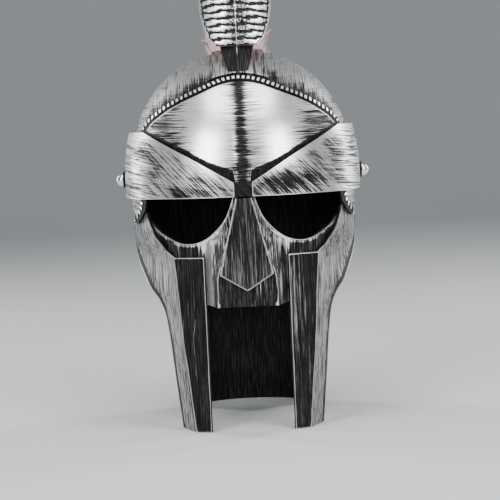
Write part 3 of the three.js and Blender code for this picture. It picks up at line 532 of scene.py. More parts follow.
def bead_lay(p):
    foot, k, _ = bead_tree.find(p)
    return 0.4 if (p - foot).dot(bead_lifts[k]) > bead_rise * 0.85 else -0.5


rope_finish = silvered("bead_silver", (300, 300, 300), 0.5, tone=0.95, edge_gain=0.0, gloss=0.3, faint=0.0)
finished("rope_edge", rope_bm, rope_finish, "shell", "bright_silver", "beaded_edge",
         worn=bead_feet, silver_and_painted_light=bead_lay)

# Forehead plate: a leaf-shaped plate between the arch and the visor, with a low ridge down its middle
# that ends in a tongue behind the keystone. The silver lies thick on it, brushed from side to side, with
# painted highlights beside the ridge, while painted shade darkens the ridge and the outer ends.
plate_wall, ridge_half, ridge_rise, tongue_half, tongue_drop = 1.2, 6.0, 0.7, 5.8, 3.0
# lower edge: share of half_width and of dome_radius
plate_lower = [(0.077, 0.061), (0.294, 0.145), (0.565, 0.274), (0.825, 0.386)]
plate_rows, tip_across = 48, plate_lower[-1][0] * half_width
plate_across = [tongue_half * k / 8 for k in range(9)]
plate_across += [mix(plate_lower[0][0] * half_width, tip_across, k / 66) for k in range(67)]
plate_across = [-x for x in reversed(plate_across)] + plate_across[1:]


def beside_arch(x):
    """Height of the arch at x, and how far its rope edge and seam reach over and under it there."""
    share = abs(x) / half_width
    slope = (read(arch, share + 0.01) - read(arch, share)) * dome_radius / (0.01 * half_width)
    return read(arch, share) * dome_radius, (bead_breadth / 2 + seat) * math.hypot(1, slope)


def plate_skin(lift, ridge):
    def at(column, row):
        x = plate_across[column]
        height, margin = beside_arch(x)
        high = height - margin
        low = min(read(plate_lower, abs(x) / half_width) * dome_radius, high - plate_wall)
        if abs(x) <= tongue_half:
            low = -tongue_drop
        crest = ridge * max(0, 1 - (abs(x) / ridge_half) ** 1.5)
        return face_point(x, mix(low, high, row / plate_rows), lift + crest)
    return at


def plate_silver_and_painted_light(p):
    """Painted highlights beside the ridge, painted shade on the ridge and the streaky outer ends, and black
    along the slit over the visor.
    """
    # The ridge and the outer ends are darkened as painted shade, and thick is a painted highlight beside the
    # ridge.
    ridge = math.exp(-(p.x / 4.4) ** 2) + 0.35 * math.exp(-(p.x / 11) ** 2)
    thick = spot(p.x, p.z, -24, 42, 15, 60) + spot(p.x, p.z, 27, 46, 15, 60)
    painted_tip_shade = within((abs(p.x) - 32) / 20)
    slit = 0.6 * within(2.4 - lower_tree.find(p)[2] / 0.8) if abs(p.x) > tongue_half else 0
    # Painted shade on the ridge, the outer ends and a spot beside the ridge.
    painted_shade = 0.21 * ridge + 0.15 * painted_tip_shade + 0.10 * spot(p.x, p.z, 13, 22, 11, 16)
    return 0.02 + 0.22 * within(thick) - painted_shade - slit


plate_outer = plate_skin(seat + plate_wall, ridge_rise)
plate_bm = sheet(len(plate_across) - 1, plate_rows, (plate_outer, plate_skin(seat, 0)), rim_bevel=0.4)
plate_worn = [plate_outer(c, plate_rows) for c, x in enumerate(plate_across) if abs(x) > tongue_half]
lower_tree = tree_of([plate_outer(c, 0) for c in range(len(plate_across))])
plate_finish = silvered("thick_silver", (26, 10, 900), 0.56, tone=0.98, patch=0.2, gloss=0.3, softness=0.3,
                        faint=0.2)
finished("forehead", plate_bm, plate_finish, "shell", "bright_silver", "forehead_plate",
         worn=plate_worn, silver_and_painted_light=plate_silver_and_painted_light)

# Visor: one moulded band that hangs on the two studs, with a wing over each eye and a recessed keystone
# between them. Its silver was rubbed on slantwise in front and nearly level at the sides.
visor_lift, visor_wall, keystone_half, keystone_depth, lobe_reach = 2.9, 2.1, 6.8, 1.0, 21.5
visor_rows, lobe_columns = 16, 14
visor_half = half_width + visor_lift + visor_wall
# upper and lower edge: share of half_width and of dome_radius
visor_top = [(0.077, -0.007), (0.460, 0.198), (0.853, 0.392), (0.930, 0.392), (1.100, 0.372)]
visor_low = [(0.000, -0.115), (0.650, -0.120), (1.100, -0.134)]
wing_turns = [math.asin(x / visor_half) for x in (0, 1.7, 3.4, 5.1, 6.3, 6.7)]
key_columns = len(wing_turns)
wing_turns += [mix(math.asin(6.9 / visor_half), math.pi / 2, k / 90) for k in range(91)]


def straight(rows, at):
    """Value at a place on the straight lines between the rows of a table."""
    for (a, low), (b, high) in zip(rows, rows[1:]):
        if at <= b:
            return mix(low, high, within((at - a) / (b - a)))
    return rows[-1][1]


def visor_skin(lift, key_lift):
    half, front = half_width + lift, dome_radius + lift

    def edge_height(rows, turn):
        height = rows[0][1] * dome_radius
        for _ in range(12):
            x = half * round_profile(max(0, height) / front) * math.sin(turn)
            height = straight(rows, x / half_width) * dome_radius
        return height

    def at(column, row):
        over = column - (len(wing_turns) - 1)
        turn = wing_turns[min(column, len(wing_turns) - 1)]
        low, high = edge_height(visor_low, turn), edge_height(visor_top, turn)
        up = row / visor_rows
        offset = key_lift if column < key_columns else lift
        if over <= 0:
            return hood_point(turn, mix(low, high, up), offset)
        closing = math.sin(over / lobe_columns * math.pi / 2)
        narrow = math.cos(over / lobe_columns * math.pi / 2)
        middle = mix(low, high, 0.42)
        height = mix(middle, mix(low, high, up), narrow)
        y = lobe_reach * closing
        rear = (dome_rear + lift) * read(neck, max(0, -height) / stud_height, 2)
        x = half * round_profile(max(0, height) / front) * (1 - (y / rear) ** fullness) ** (1 / fullness)
        return Vector((x, y, height))
    return at


visor_columns = len(wing_turns) - 1 + lobe_columns
visor_outer = visor_skin(visor_lift + visor_wall, visor_lift + visor_wall - keystone_depth)
visor_bm = sheet(visor_columns, visor_rows, (visor_outer, visor_skin(visor_lift, visor_lift)), rim_bevel=0)
mirrored_over_face(visor_bm)
visor_worn = [visor_outer(c, r) for c in range(key_columns, visor_columns + 1) for r in (0, visor_rows)]
visor_worn += [visor_outer(key_columns, r) for r in range(visor_rows + 1)]
visor_worn = both_sides(visor_worn)
visor_finish = silvered("crossed_silver", (24, 14, 860), 0.5, tone=0.8, turn=(0, math.radians(-46), 0),
                        cross=(0, math.radians(-10), 0), patch=0.2, gloss=0.33, softness=0.16, faint=0.2)


def visor_lay(p):
    """Bright along the top of both wings, with dark spots low on them, and a black keystone."""
    if abs(p.x) < keystone_half:
        return -0.4
    under_top = straight(visor_top, abs(p.x) / half_width) * dome_radius - p.z
    dark = (0.11 * spot(p.x, p.z, -34, -7, 30, 6) + 0.15 * spot(p.x, p.z, 38, -1, 26, 9)
            + 0.07 * spot(p.x, p.z, -66, 8, 22, 20) + 0.04 * spot(p.x, p.z, 76, 14, 14, 24))
    return 0.02 + 0.12 * within(1 - under_top / 7) - dark


finished("brow_visor", visor_bm, visor_finish, "visor", "visor_silver", "visor",
         worn=visor_worn, silver_and_painted_light=visor_lay, smooth=35)

# Studs: on each side a turned ball on a collar, with a shank through visor and shell and a flat head
# inside. The ball is polished, and the collar round it is dark.
shank_radius, collar_radius, collar_thickness, ball_radius = 2.5, 6.6, 1.5, 5.0
rivet_radius, rivet_thickness, gap = 5.5, 1.6, 0.3
head_at = half_width - wall - seat
collar_at = visor_half + gap
ball_at = collar_at + collar_thickness + ball_radius * 0.1
profile = [
    (head_at - rivet_thickness, 0), (head_at - rivet_thickness, rivet_radius - 0.4),
    (head_at - rivet_thickness + 0.4, rivet_radius), (head_at, rivet_radius),
    (head_at, shank_radius), (collar_at, shank_radius), (collar_at, collar_radius),
    (collar_at + collar_thickness * 0.7, collar_radius), (collar_at + collar_thickness, collar_radius - 0.5),
    (collar_at + collar_thickness, ball_radius * 0.82),
]
profile += [(ball_at + ball_radius * math.sin(a), ball_radius * math.cos(a))
            for a in (math.radians(mix(-6, 90, k / 14)) for k in range(15))]
stud_finish = silvered("polished_silver", (25, 25, 25), 0.5, edge_gain=0.0, patch=0.1, gloss=0.24, grain=0.02)


def stud_lay(p):
    return 0.5 if abs(p.x) > collar_at + collar_thickness + 0.3 else -0.12


for name, node, sign in (("ball_stud_right", "stud_right", 1), ("ball_stud_left", "stud_left", -1)):
    stud_bm = bmesh.new()
    points = [stud_bm.verts.new((sign * x, 0, max(0, r))) for x, r in profile]
    line = [stud_bm.edges.new(pair) for pair in zip(points, points[1:])]
    bmesh.ops.spin(stud_bm, geom=points + line, cent=(0, 0, 0), axis=(1, 0, 0), angle=math.tau, steps=48,
                   use_merge=True)
    bmesh.ops.remove_doubles(stud_bm, verts=stud_bm.verts, dist=0.002)
    bmesh.ops.recalc_face_normals(stud_bm, faces=stud_bm.faces)
    ring = [Vector((sign * (collar_at + collar_thickness), 0, 0))]
    finished(name, stud_bm, stud_finish, "shell", "stud_silver", node, worn=ring, silver_and_painted_light=stud_lay, smooth=50)

# Face plate: one wall under the visor with two eye openings, the nose between them and the lip plate
# below. The eye rims stay black apart from a rubbed edge, and the sides of the nose are brushed. Painted
# highlights lie at the inner eye corners and low on the left side of the nose, and painted shadow of the
# nasal guard darkens the lip plate.
# drop of stud_height, then front, fold x, fold y, rear x, rear y and how sharp the fold is
face = [
    (-0.04, 1.000, 0.655, 0.792, 0.999, -0.058, 0.0), (0.19, 1.000, 0.655, 0.792, 0.999, -0.058, 0.0),
    (0.24, 1.006, 0.645, 0.800, 0.998, -0.058, 0.2), (0.285, 1.022, 0.634, 0.815, 0.992, -0.040, 0.6),
    (0.34, 1.045, 0.624, 0.825, 0.960, 0.115, 0.9), (0.38, 1.055, 0.617, 0.832, 0.921, 0.240, 1.0),
    (0.43, 1.056, 0.608, 0.838, 0.870, 0.360, 1.0), (0.48, 1.056, 0.600, 0.842, 0.785, 0.480, 1.0),
    (0.535, 1.056, 0.594, 0.845, 0.737, 0.530, 1.0), (0.63, 1.056, 0.580, 0.848, 0.706, 0.550, 1.0),
    (0.79, 1.052, 0.545, 0.853, 0.672, 0.568, 1.0), (1.00, 1.046, 0.502, 0.863, 0.625, 0.590, 1.0),
]
# drop of lip_drop, face and foot half widths of nose_half, depth of nose_depth
nose = [
    (-0.06, 0.17, 0.22, 0.000), (0.105, 0.17, 0.22, 0.000), (0.135, 0.18, 0.25, 0.862),
    (0.29, 0.28, 0.43, 0.894), (0.42, 0.40, 0.68, 0.926), (0.50, 0.48, 0.97, 0.945),
    (0.64, 0.61, 1.00, 0.974), (0.78, 0.72, 1.00, 1.000), (1.00, 0.74, 1.00, 0.992),
]
# edge of an eye opening: share of half_width, drop of stud_height
eye = [
    (0.086, 0.067), (0.169, 0.148), (0.271, 0.202), (0.380, 0.235), (0.511, 0.246), (0.637, 0.2285),
    (0.768, 0.1886), (0.875, 0.1228), (0.893, 0.067),
]
lip_drop, nose_half, nose_depth, lid_drop, face_wrap = 94.0, 31.0, 116.5, 8.1, 0.74


def bend(a, b, c, t):
    return a * (1 - t) ** 2 + b * (2 * t * (1 - t)) + c * t * t


def face_section(height, inset):
    """Two curves at one height, from the middle to the fold and from the fold to the rear."""
    row = (read(face, -height / stud_height, column) for column in range(1, 7))
    front, fold_x, fold_y, rear_x, rear_y, crease = row
    fold = Vector((fold_x * half_width - inset * 0.62, -fold_y * dome_radius + inset * 0.78))
    middle = Vector((0, -front * dome_radius + inset))
    rear = Vector((rear_x * half_width - inset * 1.12, -rear_y * dome_radius))
    round_front = Vector((fold.x * 0.63, middle.y * 0.985)).lerp(middle.lerp(fold, 0.5), crease)
    round_side = Vector((mix(rear.x, fold.x, 0.12), fold.y * 0.66)).lerp(fold.lerp(rear, 0.5), crease)
    return (middle, round_front, fold), (fold, round_side, rear)


def share_at(curve, x):
    """Place along a curve that starts at x = 0 at which it reaches x."""
    a, b = curve[2].x - 2 * curve[1].x, 2 * curve[1].x
    return 2 * x / (b + math.sqrt(b * b + 4 * a * x))


def face_skin(start, along, height, inset):
    """Point of the face skin: along runs 0 to 1 from x = start to the fold, 1 to 2 on to the rear."""
    to_fold, to_rear = face_section(height, inset)
    first = share_at(to_fold, start)
    flat = bend(*to_fold, mix(first, 1, along)) if along <= 1 else bend(*to_rear, along - 1)
    return Vector((flat.x, flat.y, height))


def foot_half(height):
    return read(nose, -height / lip_drop, 2) * nose_half


def along_at(x, height, inset):
    """Place along the face skin at which it reaches x."""
    low, high = 0.0, 2.0
    for _ in range(26):
        middle = (low + high) / 2
        short = face_skin(foot_half(height), middle, height, inset).x < x
        low, high = (middle, high) if short else (low, middle)
    return low


def ray_hit(origin, direction, outline):
    """Furthest point of a closed outline along a ray."""
    furthest = 0
    for a, b in zip(outline, outline[1:] + outline[:1]):
        run = b - a
        cross = direction.x * run.y - direction.y * run.x
        if abs(cross) < 1e-12:
            continue
        off = a - origin
        t = (off.x * run.y - off.y * run.x) / cross
        s = (off.x * direction.y - off.y * direction.x) / cross
        if -1e-5 <= s <= 1 + 1e-5:
            furthest = max(furthest, t)
    return origin + direction * furthest


plate_inset, face_top, along_unit = wall + seat, 0.06 * lip_drop, 36.0
eye_outline = spline([Vector((a * half_width, -d * stud_height)) for a, d in eye], 8)
lids = [Vector((eye_outline[end].x, -lid_drop)) for end in (0, -1)]
eye_outline = [Vector((max(0.012, along_at(p.x, p.y, plate_inset)) * along_unit, p.y))
               for p in lids[:1] + eye_outline + lids[1:]]
field_end = (1 + face_wrap) * along_unit
field = [Vector((0, face_top)), Vector((0, -lip_drop)), Vector((field_end, -lip_drop)),
         Vector((field_end, face_top))]
eye_middle = Vector((0.72 * along_unit, -24))
ray_count, ring_rows, nose_columns = 168, 26, 12
angles = [math.tau * k / ray_count for k in range(ray_count)]
for corner in field:
    exact = math.atan2(*(corner - eye_middle).yx) % math.tau
    nearest = min(range(len(angles)), key=lambda k: abs(angles[k] - exact))
    angles[nearest] = exact
rays = [Vector((math.cos(a), math.sin(a))) for a in angles]
ring_inner = [ray_hit(eye_middle, ray, eye_outline) for ray in rays]
ring_outer = [ray_hit(eye_middle, ray, field) for ray in rays]
nose_heights = sorted({round(p.y, 6) for p in ring_outer if p.x < 1e-6})


def ring_skin(column, row):
    """Point of the grid that rings an eye opening."""
    k = column % ray_count
    flat = ring_inner[k].lerp(ring_outer[k], (row / ring_rows) ** 1.3)
    return face_skin(foot_half(flat.y), max(0, flat.x / along_unit), flat.y, plate_inset)


def nose_skin(column, row):
    """Point of the grid over half of the nose, its front first and its side after it."""
    height = nose_heights[row]
    face_half, foot = read(nose, -height / lip_drop, 1) * nose_half, foot_half(height)
    ridge = -read(nose, -height / lip_drop, 3) * nose_depth
    to_fold = face_section(height, plate_inset)[0]

    def back(x):
        return bend(*to_fold, share_at(to_fold, x)).y

    t = column / (nose_columns / 2) - 1
    if t <= 0:
        x = face_half * (1 + t)
        return Vector((x, min(back(x), ridge), height))
    x = mix(face_half, foot, t)
    side_y = min(back(x), mix(min(back(face_half), ridge), back(foot), t)) if t < 1 else back(x)
    return Vector((x, side_y, height))


face_bm = bmesh.new()
face_hidden = face_bm.verts.layers.float.new("inner")
lay_grid(face_bm, ray_count, ring_rows, ring_skin)
lay_grid(face_bm, nose_columns, len(nose_heights) - 1, nose_skin)
mirrored_over_face(face_bm)
face_rim = [e for e in face_bm.edges if e.is_boundary]
eye_edge = [ring_skin(k, 0) for k in range(ray_count)]
face_worn = eye_edge + along_line([face_skin(foot_half(h), 0, h, plate_inset) for h in nose_heights], 1)
face_worn += along_line([nose_skin(nose_columns // 2, r) for r in range(len(nose_heights))], 1)
face_worn += [Vector((x * 0.5, -nose_depth, -lip_drop)) for x in range(0, 62)]
twins = bmesh.ops.extrude_face_region(face_bm, geom=face_bm.faces[:])
fresh = [g for g in twins["geom"] if isinstance(g, bmesh.types.BMVert)]
face_bm.normal_update()
for v in fresh:
    v.co -= v.normal * wall
    v[face_hidden] = 1
bmesh.ops.recalc_face_normals(face_bm, faces=face_bm.faces)
eased(face_bm, face_rim, 0.5)
eye_tree = tree_of(eye_edge)


def face_silver_and_painted_light(p):
    """Black round the eyes but for a swipe along their edge and a painted highlight at their inner corners,
    brushed sides of the nose that darken towards the bottom, with a painted highlight low on the left one,
    and a lip plate darkened as painted shadow of the nasal guard.
    """
    x, drop = abs(p.x), -p.z
    from_eye = eye_tree.find(Vector((x, p.y, p.z)))[2]
    foot, front = foot_half(p.z), read(nose, drop / lip_drop, 1) * nose_half
    # corner is a painted highlight where the eye rim meets the nose.
    corner = spot(x, drop, foot, 48, 5, 6)
    if x > foot + 0.3:
        return -0.21 + 0.22 * math.exp(-((from_eye - 1.4) / 1.1) ** 2) + 0.4 * corner
    if x > front:
        low = within((drop - 38) / 14)
        # column is a painted highlight low on the left side of the nose.
        column = 0.26 * math.exp(-((x - foot + 3.0) / 2.4) ** 4) if p.x < 0 else 0.0
        return mix(-0.02, column - 0.10, low) + 0.2 * corner
    # The nose front and lip plate are darkened as painted shadow of the nasal guard, more on the left.
    return -0.26 if p.x < 0 else -0.15


face_finish = silvered("brushed_face", (640, 60, 16), 0.44, patch=0.1, edge_width=0.5, softness=0.2,
                       faint=0.3)
finished("face", face_bm, face_finish, "shell", "face_silver", "face_plate",
         worn=both_sides(face_worn), silver_and_painted_light=face_silver_and_painted_light, smooth=30)

# Nasal guard: a kite-shaped plate on the front of the nose, glued on its back. It is left dark and
# brushed lightly from top to bottom, with a bright line rubbed round its rim.
nasal_wall, nasal_top_half, nasal_half, tip_half = 3.0, 6.2, 20.4, 0.6
nasal_top, nasal_corner, nasal_tip = 12.8, 69.3, 81.6
nasal_columns = [-1, -0.975, -0.95] + [mix(-0.95, 0.95, k / 24) for k in range(1, 24)] + [0.95, 0.975, 1]
nasal_drops = [nasal_tip, nasal_tip - 0.5, nasal_tip - 1.0]
nasal_drops += [mix(nasal_tip - 1, nasal_corner + 0.4, k / 8) for k in range(1, 8)]
nasal_drops += [nasal_corner + 0.4, nasal_corner]
nasal_drops += [mix(nasal_corner, nasal_top + 1, k / 36) for k in range(1, 37)] + [nasal_top + 0.5, nasal_top]


def nasal_skin(lift):
    def at(column, row):
        drop, across = nasal_drops[row], nasal_columns[column]
        if drop > nasal_corner:
            half = mix(nasal_half, tip_half, (drop - nasal_corner) / (nasal_tip - nasal_corner))
        else:
            half = mix(nasal_top_half, nasal_half, (drop - nasal_top) / (nasal_corner - nasal_top))
        depth = read(nose, drop / lip_drop, 3) * nose_depth
        return Vector((across * half, -depth - lift, -drop))
    return at


nasal_outer, last_column = nasal_skin(seat + nasal_wall), len(nasal_columns) - 1
nasal_bm = sheet(last_column, len(nasal_drops) - 1, (nasal_outer, nasal_skin(seat)), rim_bevel=0.7)
nasal_rim = along_pair([nasal_outer(c, r) for r in range(len(nasal_drops)) for c in (0, last_column)], 0.8)
nasal_finish = silvered("dark_brushed", (760, 30, 20), 0.06, tone=0.4, patch=0.05, edge_width=0.9,
                        edge_gain=2.4, gloss=0.45, softness=0.42, faint=0.5)
finished("nasal", nasal_bm, nasal_finish, "shell", "dark_silver", "nasal_guard", worn=nasal_rim,
         silver_and_painted_light=lambda p: mix(-0.10, -0.03, within((-p.z - 50) / 26)))

# Cheek guards: a folded plate on each side, screwed under the eye rim and the ear tab. Its narrow
# front is darkened almost to black as painted shade, while its side is brushed grey from top to bottom.
cheek_inner_half, cheek_rows = 32.5, 90
# upper edge under the eye and under the ear tab: share of half_width, drop of stud_height
cheek_top = [(0.200, 0.298), (0.617, 0.299), (0.696, 0.2725), (0.799, 0.213), (0.857, 0.140)]
tab_under = [(0.8615, 0.120), (0.873, 0.1125), (0.912, 0.149), (0.960, 0.1765), (1.000, 0.186)]
cheek_edge = [Vector((a * half_width, -d * stud_height)) for a, d in cheek_top + tab_under]
cheek_columns = [0, 0.02, 0.04] + [k / 20 for k in range(2, 20)] + [0.98, 1.0, 1.012]
cheek_columns += [1 + k / 34 for k in range(1, 34)] + [1.980, 1.988, 1.994, 2.0]
fold_column, rear_column = cheek_columns.index(1.0), len(cheek_columns) - 1


def cheek_top_height(along):
    """Height at which a line up the cheek guard meets its upper edge."""
    low, high = -62.0, -18.0
    for _ in range(22):
        height = (low + high) / 2
        x = face_skin(cheek_inner_half, along, height, 0).x
        limit = next((mix(a.y, b.y, (x - a.x) / (b.x - a.x))
                      for a, b in zip(cheek_edge, cheek_edge[1:]) if a.x <= x <= b.x), cheek_edge[-1].y)
        low, high = (height, high) if height < limit else (low, height)
    return low


cheek_tops = [cheek_top_height(along) for along in cheek_columns]


def cheek_outer(column, row):
    height = mix(-stud_height, cheek_tops[column], row / cheek_rows)
    return face_skin(cheek_inner_half, cheek_columns[column], height, 0)


def cheek_inner(column, row):
    here = cheek_outer(column, row)
    run = face_skin(cheek_inner_half, min(2, cheek_columns[column] + 0.004), here.z, 0)
    run -= face_skin(cheek_inner_half, max(0, cheek_columns[column] - 0.004), here.z, 0)
    outward = Vector((run.y, -run.x, 0)).normalized()
    return here - outward * wall


cheek_worn = [cheek_outer(c, r) for c in range(rear_column + 1) for r in (0, cheek_rows)]
cheek_worn += [cheek_outer(c, r) for c in (0, fold_column, rear_column) for r in range(cheek_rows + 1)]
rear_tree = tree_of([cheek_outer(rear_column, r) for r in range(cheek_rows + 1)])
cheek_finish = silvered("long_brushed", (620, 620, 14), 0.44, tone=0.42, patch=0.14, edge_width=0.6,
                        edge_gain=2.2, softness=0.26, gloss=0.45, faint=0.3)
for name, node, sign in (("cheek_right", "cheek_guard_right", 1), ("cheek_left", "cheek_guard_left", -1)):
    cheek_bm = sheet(rear_column, cheek_rows, (cheek_outer, cheek_inner), rim_bevel=0.4, folds=(fold_column,))
    if sign < 0:
        bmesh.ops.scale(cheek_bm, verts=cheek_bm.verts, vec=(-1, 1, 1))
        bmesh.ops.recalc_face_normals(cheek_bm, faces=cheek_bm.faces)

    def cheek_silver_and_painted_light(p):
        """Nearly black in front as painted shade, with more scrapes on one guard, and grey at the side up to
        a black line along the rear edge."""
        x, drop = abs(p.x), -p.z
        fold_x = read(face, drop / stud_height, 2) * half_width
        on_side = within((x - fold_x + 0.3) / 1.2)
        from_rear = rear_tree.find(Vector((x, p.y, p.z)))[2]
        line = 0.6 * within(1.4 - abs(from_rear - 3.6) / 1.6) - 0.3 * within(2 - from_rear)
        scraped = 0.14 * spot(x, drop, cheek_inner_half + 3, 92, 6, 30) + 0.01 if p.x > 0 else -0.04
        # The 0.19 taken from the front darkens it as painted shade.
        return mix(scraped - 0.19, -line, on_side)

    worn = [Vector((sign * q.x, q.y, q.z)) for q in cheek_worn]
    finished(name, cheek_bm, cheek_finish, "shell", "face_silver", node, worn=worn, silver_and_painted_light=cheek_silver_and_painted_light, smooth=35)

# Keel: a low strip over the crown that carries the crest, wide at the front arch and narrow behind.
keel_rise, keel_front_half, keel_rear_half, keel_end = 1.4, 23.0, 14.0, math.radians(164)
keel_columns, keel_rows = 24, 80


def crown_point(x, angle, lift):
    """Point of the dome skin at x and an angle about the stud axis: 0 face, 90 crown, 180 back."""
    radius = (dome_radius + lift) * round_profile(x / (half_width + lift))
    stretch = (dome_rear + lift) / (dome_radius + lift) if angle > math.pi / 2 else 1
    return Vector((x, -radius * math.cos(angle) * stretch, radius * math.sin(angle)))


def keel_start(x):
    """Angle about the stud axis at which the keel meets the rope edge."""
    height, margin = beside_arch(x)
    return math.asin((height + margin) / (dome_radius * round_profile(x / half_width)))


def keel_skin(lift):
    def at(column, row):
        half = mix(keel_front_half, keel_rear_half, row / keel_rows)
        x = mix(-half, half, column / keel_columns)
        return crown_point(x, mix(keel_start(x), keel_end, row / keel_rows), lift)
    return at


keel_outer = keel_skin(seat + keel_rise)
keel_bm = sheet(keel_columns, keel_rows, (keel_outer, keel_skin(seat)), rim_bevel=0.45)
keel_worn = along_pair([keel_outer(c, r) for r in range(keel_rows + 1) for c in (0, keel_columns)], 1)
keel_finish = silvered("wiped_silver_keel", (760, 22, 22), 0.44, tone=0.5, patch=0.08, edge_width=0.3,
                       edge_gain=0.3, softness=0.2, gloss=0.42)
finished("keel", keel_bm, keel_finish, "shell", "shell_silver", "crest_keel", worn=keel_worn)

# Crest stem: a dark wedge that rises from the keel's front to the crest shield.
crest_seat = seat + keel_rise + seat
stem_top_half, stem_foot_half, stem_depth = 13.3, 8.0, 9.0
plume_start = math.radians(74)
shield_base, shield_wall = dome_radius + 4.5, 3.0
shield_front = (dome_radius + crest_seat) * math.cos(plume_start) + 18
foot_angle = keel_start(0)
foot_front = (dome_radius + seat + keel_rise) * math.cos(foot_angle) + 1.4
top_z, top_y = shield_base - gap, shield_front - 1
back_y = top_y - stem_depth


def stem_foot(x, y):
    """Point of the crest's seat over the keel at x and a distance y in front of the stud axis."""
    reach = (dome_radius + crest_seat) * round_profile(x / (half_width + crest_seat))
    return Vector((x, -y, math.sqrt(reach ** 2 - y ** 2)))


stem_bm = bmesh.new()
stem_rings = []
stem_ends = ((stem_foot_half, foot_front, stem_foot),
             (stem_top_half, top_y, lambda x, y: Vector((x, -y, top_z))))
for half, front, at in stem_ends:
    side_y = front - half * 0.3
    corners = [(0, front), (half, side_y), (half * 0.9, back_y), (-half * 0.9, back_y), (-half, side_y)]
    ring = [stem_bm.verts.new(at(*corner)) for corner in corners]
    stem_rings.append([stem_bm.edges.new(pair) for pair in zip(ring, ring[1:] + ring[:1])])
stem_rings[0][0].verts[0].co.z -= keel_rise + seat
bmesh.ops.bridge_loops(stem_bm, edges=stem_rings[0] + stem_rings[1])
for ring in stem_rings:
    bmesh.ops.contextual_create(stem_bm, geom=ring)
bmesh.ops.recalc_face_normals(stem_bm, faces=stem_bm.faces)
eased(stem_bm, stem_bm.edges[:], 0.35)
bmesh.ops.subdivide_edges(stem_bm, edges=stem_bm.edges[:], cuts=5, use_grid_fill=True)
stem_worn = along_line([stem_foot(0, foot_front), Vector((0, -top_y, top_z))], 0.5)
stem_finish = silvered("dark_stem", (500, 20, 20), 0.2, tone=0.7, patch=0.05, edge_width=0.36, faint=0.2)
finished("stem", stem_bm, stem_finish, "shell", "dark_silver", "crest_stem",
         worn=stem_worn, silver_and_painted_light=lambda p: -0.12)

# Crest shield: the ribbed, bowed front plate of the crest, in bright silver with black in its grooves.
shield_height, shield_half, shield_lean, shield_bow, ribs, rib_rise = 60.0, 28.0, 6.0, 9.0, 11, 1.0
# outline: share of shield_height and of shield_half
shield = [
    (0.00, 0.60), (0.10, 0.77), (0.27, 0.91), (0.45, 0.99), (0.62, 1.00), (0.78, 0.91), (0.90, 0.70),
    (0.97, 0.42), (1.00, 0.16),
]
shield_rows, border, seam_half = ribs * 12, 0.90, 0.015
shield_across = [0, 0.008, seam_half, 0.03, 0.05] + [0.05 + 0.82 * k / 24 for k in range(1, 25)]
shield_across += [0.885, border, 0.915, 0.935, 0.955, 0.975, 1.0]
shield_across = [-a for a in reversed(shield_across)] + shield_across[1:]


def rib_share(up, across):
    """0 in a groove and 1 on a rib. The ribs droop to the sides, the more the higher they are."""
    wander = 0.10 * math.sin(across * 9 + up * 31) + 0.05 * math.sin(across * 23 + up * 57)
    return abs(math.sin(math.pi * (up * ribs + 0.9 * up * across ** 2 + wander)))


def shield_skin(thickness, rib):
    def at(column, row):
        up, across = row / shield_rows, shield_across[column]
        half = read(shield, up) * shield_half
        crest = 0.85 if abs(across) > border else rib_share(up, across) ** 0.6
        if abs(across) < seam_half:
            crest = 1.15
        bow = shield_bow * (across * half / shield_half) ** 2 + shield_lean * up * up
        return Vector((across * half, -shield_front + bow + thickness - rib * crest,
                       shield_base + shield_height * up))
    return at


def shield_lay(p):
    """Silver on ribs, border and middle seam, black in the grooves and beside the seam."""
    up = within((p.z - shield_base) / shield_height)
    across = p.x / (read(shield, up) * shield_half)
    if abs(across) > border:
        return -0.4 if abs(across) < border + 0.02 else -0.02
    if abs(across) < seam_half:
        return 0.08
    beside = (0.15 * math.exp(-((across - 0.20) / 0.24) ** 2)
              + 0.12 * math.exp(-((across + 0.10) / 0.12) ** 2))
    return mix(-0.32, 0.10, within((rib_share(up, across) - 0.34) / 0.4)) - beside


shield_outer = shield_skin(0, rib_rise)
shield_bm = sheet(len(shield_across) - 1, shield_rows, (shield_outer, shield_skin(shield_wall, 0)),
                  rim_bevel=0.3)
shield_worn = [shield_outer(c, r) for c in (0, len(shield_across) - 1) for r in range(shield_rows + 1)]
shield_finish = silvered("ribbed_silver", (520, 300, 420), 0.5, tone=0.95, patch=0.3, edge_width=0.8,
                         gloss=0.3, softness=0.16)
finished("ribbed_shield", shield_bm, shield_finish, "shell", "bright_silver", "crest_shield",
         worn=shield_worn, silver_and_painted_light=shield_lay, smooth=45)

# Plume: a brush of stiff dyed bristle in a backing strip on the keel. It stands upright behind the
# shield and fans out towards the nape.
plume_end = math.radians(158)
front_lean, rear_lean = math.radians(93), math.radians(165)
plume_length, plume_root_half, backing = 74.0, 10.0, 5.0
lock_count, lock_bristles, tuft_share = 90, 100, 0.16
backing_columns, backing_rows = 8, 60


def backing_skin(lift):
    def at(column, row):
        angle = mix(plume_start, plume_end, row / backing_rows)
        return crown_point(mix(-plume_root_half, plume_root_half, column / backing_columns), angle, lift)
    return at


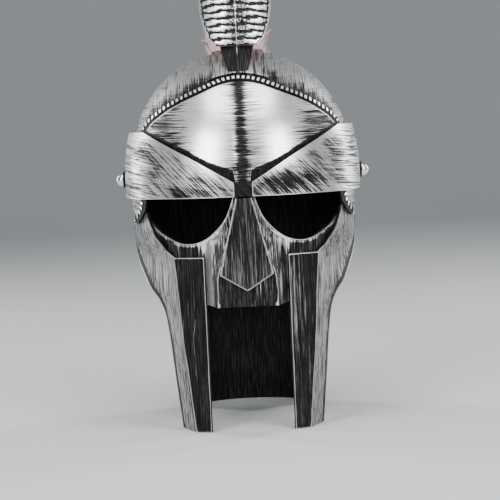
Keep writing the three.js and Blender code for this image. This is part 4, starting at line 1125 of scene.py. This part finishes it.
plume_bm = sheet(backing_columns, backing_rows,
                 (backing_skin(crest_seat + backing), backing_skin(crest_seat)))
draw = random.Random(7)
lock_mesh = bpy.data.meshes.new("lock")
for lock in range(lock_count):
    lock_bm = bmesh.new()
    for k in range(lock_bristles):
        share = (lock + draw.random()) / lock_count
        lane = max(-1, min(1, draw.gauss(0, 0.5)))
        root = crown_point(lane * plume_root_half * 0.9, mix(plume_start + 0.03, plume_end - 0.03, share),
                           crest_seat + backing * 0.6)
        direction = mix(front_lean, rear_lean, share) + draw.gauss(0, 0.05)
        spread = lane * 0.27 + draw.gauss(0, 0.035)
        loose = share < tuft_share and k % 4 == 0
        length = plume_length * (1 - 0.3 * share ** 2) * (1 - 0.10 * lane ** 2) * draw.uniform(0.9, 1.0)
        if loose:
            spread = math.copysign(draw.uniform(0.75, 1.35), draw.random() - 0.5)
            length = draw.uniform(14, 24)
        way = Vector((math.sin(spread), -math.cos(direction) * math.cos(spread),
                      math.sin(direction) * math.cos(spread)))
        stand = Matrix.Translation(root + way * length / 2) @ way.to_track_quat("Z", "Y").to_matrix().to_4x4()
        thick = 0.6 if loose else 0.42
        bmesh.ops.create_cone(lock_bm, cap_ends=True, segments=3, radius1=thick, radius2=0.16, depth=length,
                              matrix=stand)
    lock_bm.to_mesh(lock_mesh)
    lock_bm.free()
    plume_bm.from_mesh(lock_mesh)
bpy.data.meshes.remove(lock_mesh)
bristle = bpy.data.materials.new("dyed_bristle")
bristle.use_nodes = True
bristle_shader = bristle.node_tree.nodes["Principled BSDF"]
place = Wire(bristle.node_tree.nodes.new("ShaderNodeTexCoord").outputs["Object"])
strand = place.node("TexNoise", {}, {"Vector": place, "Scale": 420.0, "Detail": 3.0, "Roughness": 0.6})
dye = place.node("Mix", {"data_type": "RGBA"},
                 {0: strand.ramp(0.2, 0.8), 6: (0.62, 0.24, 0.20, 1), 7: (0.94, 0.74, 0.71, 1)}, 2)
bristle.node_tree.links.new(dye.socket, bristle_shader.inputs["Base Color"])
bristle.node_tree.links.new(strand.ramp(0.3, 0.7, 0.45, 0.7).socket, bristle_shader.inputs["Roughness"])
finished("brush", plume_bm, bristle, "shell", "bristle", "plume", smooth=60)
